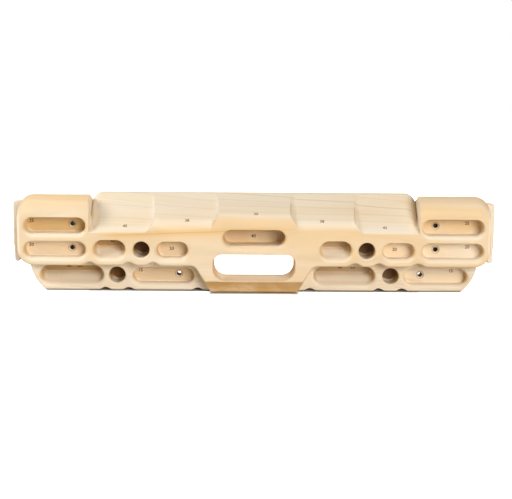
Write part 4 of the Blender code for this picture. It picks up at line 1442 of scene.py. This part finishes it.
burn("angle_numbers", ANGLE_NUMBERS).data.materials.append(burnt_wood("lightly_burnt_wood", *ANGLE_BROWNS))
burn("depth_numbers", DEPTH_NUMBERS).data.materials.append(burnt_wood("burnt_wood", *DEPTH_BROWNS))

# %% [markdown]
# The board stands on a pale floor in front of a white backdrop. The floor is an ordinary matt surface, so it
# takes the board's shadow. Only for the camera it glows, not at all at the board's foot and fully 6 mm away,
# which lifts it to white without more light on the wood and leaves the dark line under the board.

# %% Lay the floor
FLOOR_SIZE = 8.0
GLOW_NEAR = 0.0
GLOW_FAR = 1.0
GLOW_END = 0.006
FOOT_HALF_WIDTH = 0.236
PAPER = (0.62, 0.61, 0.59, 1.0)

floor_mesh = bmesh.new()
bmesh.ops.create_grid(floor_mesh, x_segments=1, y_segments=1, size=FLOOR_SIZE / 2)
floor = finished(floor_mesh, "floor", bpy.context.scene.collection)

paper = Finish(bpy.data.materials.new("paper"))
spot = paper.add("ShaderNodeTexCoord", {}, {}, "Object")
east, north = (paper.add("ShaderNodeSeparateXYZ", {}, {0: spot}, axis) for axis in "XY")


def away_from(half_width, front):
    """Distance on the floor from a foot of the board, which reaches from its front to the back."""
    beside = (abs(east) - half_width).work("MAXIMUM", 0.0)
    before = (front - north).work("MAXIMUM", north - BOARD_DEPTH / 2).work("MAXIMUM", 0.0)
    return (beside * beside + before * before) ** 0.5


handle_away = away_from(HANDLE_FOOT, FACE_Y)
away = handle_away.work("MINIMUM", away_from(FOOT_HALF_WIDTH, FACE_Y + FRONT_THICKNESS))
seen = paper.add("ShaderNodeLightPath", {}, {}, "Is Camera Ray")
glow = paper.grey(seen * paper.ease(away, 0.0, GLOW_END, GLOW_NEAR, GLOW_FAR))
floor.data.materials.append(paper.surface({
    "Base Color": PAPER, "Roughness": 0.9, "Emission Color": glow, "Emission Strength": 1.0,
}))
floor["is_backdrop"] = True
print("floor in metres:", FLOOR_SIZE)

# %% [markdown]
# The backdrop is the world itself. It is white to the camera and in reflections, but gives the wood only a
# twentieth of that light, so the soft boxes alone shape it.

# %% Whiten the backdrop
BACKDROP = (1.0, 1.0, 1.0, 1.0)
WORLD_LIGHT = (0.05, 0.05, 0.05, 1.0)

studio = Finish(bpy.data.worlds.new("studio"), "Background")
kinds = ("Is Camera Ray", "Is Glossy Ray", "Is Transmission Ray")
sighted, mirrored, passed = (studio.add("ShaderNodeLightPath", {}, {}, kind) for kind in kinds)
shown = sighted.work("MAXIMUM", mirrored).work("MAXIMUM", passed)
bpy.context.scene.world = studio.surface({"Color": studio.mix(shown, WORLD_LIGHT, BACKDROP)})
print("light of the world on the wood:", WORLD_LIGHT[0])

# %% [markdown]
# The key light is a large soft box on the right, in front and low, so it reaches deep into the pockets and
# leaves only their right ends and tops in shade. A weaker one stands on the left, almost level with the
# board's face. It brushes over the ledges, most of all over the left ones, and hardly touches the front. A
# third one behind the board shines through the handle hole onto its lower side.

# %% Hang the lights
def soft_box(name, spot, target, size, power, colour):
    """Square area light that looks at a target."""
    data = bpy.data.lights.new(name, "AREA")
    data.size = size
    data.energy = power
    data.color = colour
    made = bpy.data.objects.new(name, data)
    made.location = spot
    made.rotation_euler = (Vector(target) - Vector(spot)).to_track_quat("-Z", "Y").to_euler()
    bpy.context.scene.collection.objects.link(made)
    return made


soft_box("key_light", spot=(1.05, -2.25, 0.80), target=(0.0, 0.0, 0.07), size=1.2, power=50.0,
         colour=(1.0, 0.985, 0.955))
soft_box("side_light", spot=(-1.10, -0.42, 0.83), target=(-0.05, 0.0, 0.10), size=0.6, power=10.5,
         colour=(0.985, 0.99, 1.0))
back = soft_box("back_light", spot=(0.10, 1.45, 0.92), target=(0.0, 0.0, 0.05), size=1.5, power=22.0,
                colour=(1.0, 1.0, 1.0))
back.visible_glossy = False
bpy.context.scene.view_settings.view_transform = "Standard"

# %% [markdown]
# At the end the visual model is measured, and its box is printed beside the imported one's.
# It has to fill the same box as the imported one.

# %% Measure and finish
visual_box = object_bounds()
for name, corners in (("packed", cad_box), ("visual", visual_box)):
    print(name, [[round(1000 * value, 2) for value in corner] for corner in corners])
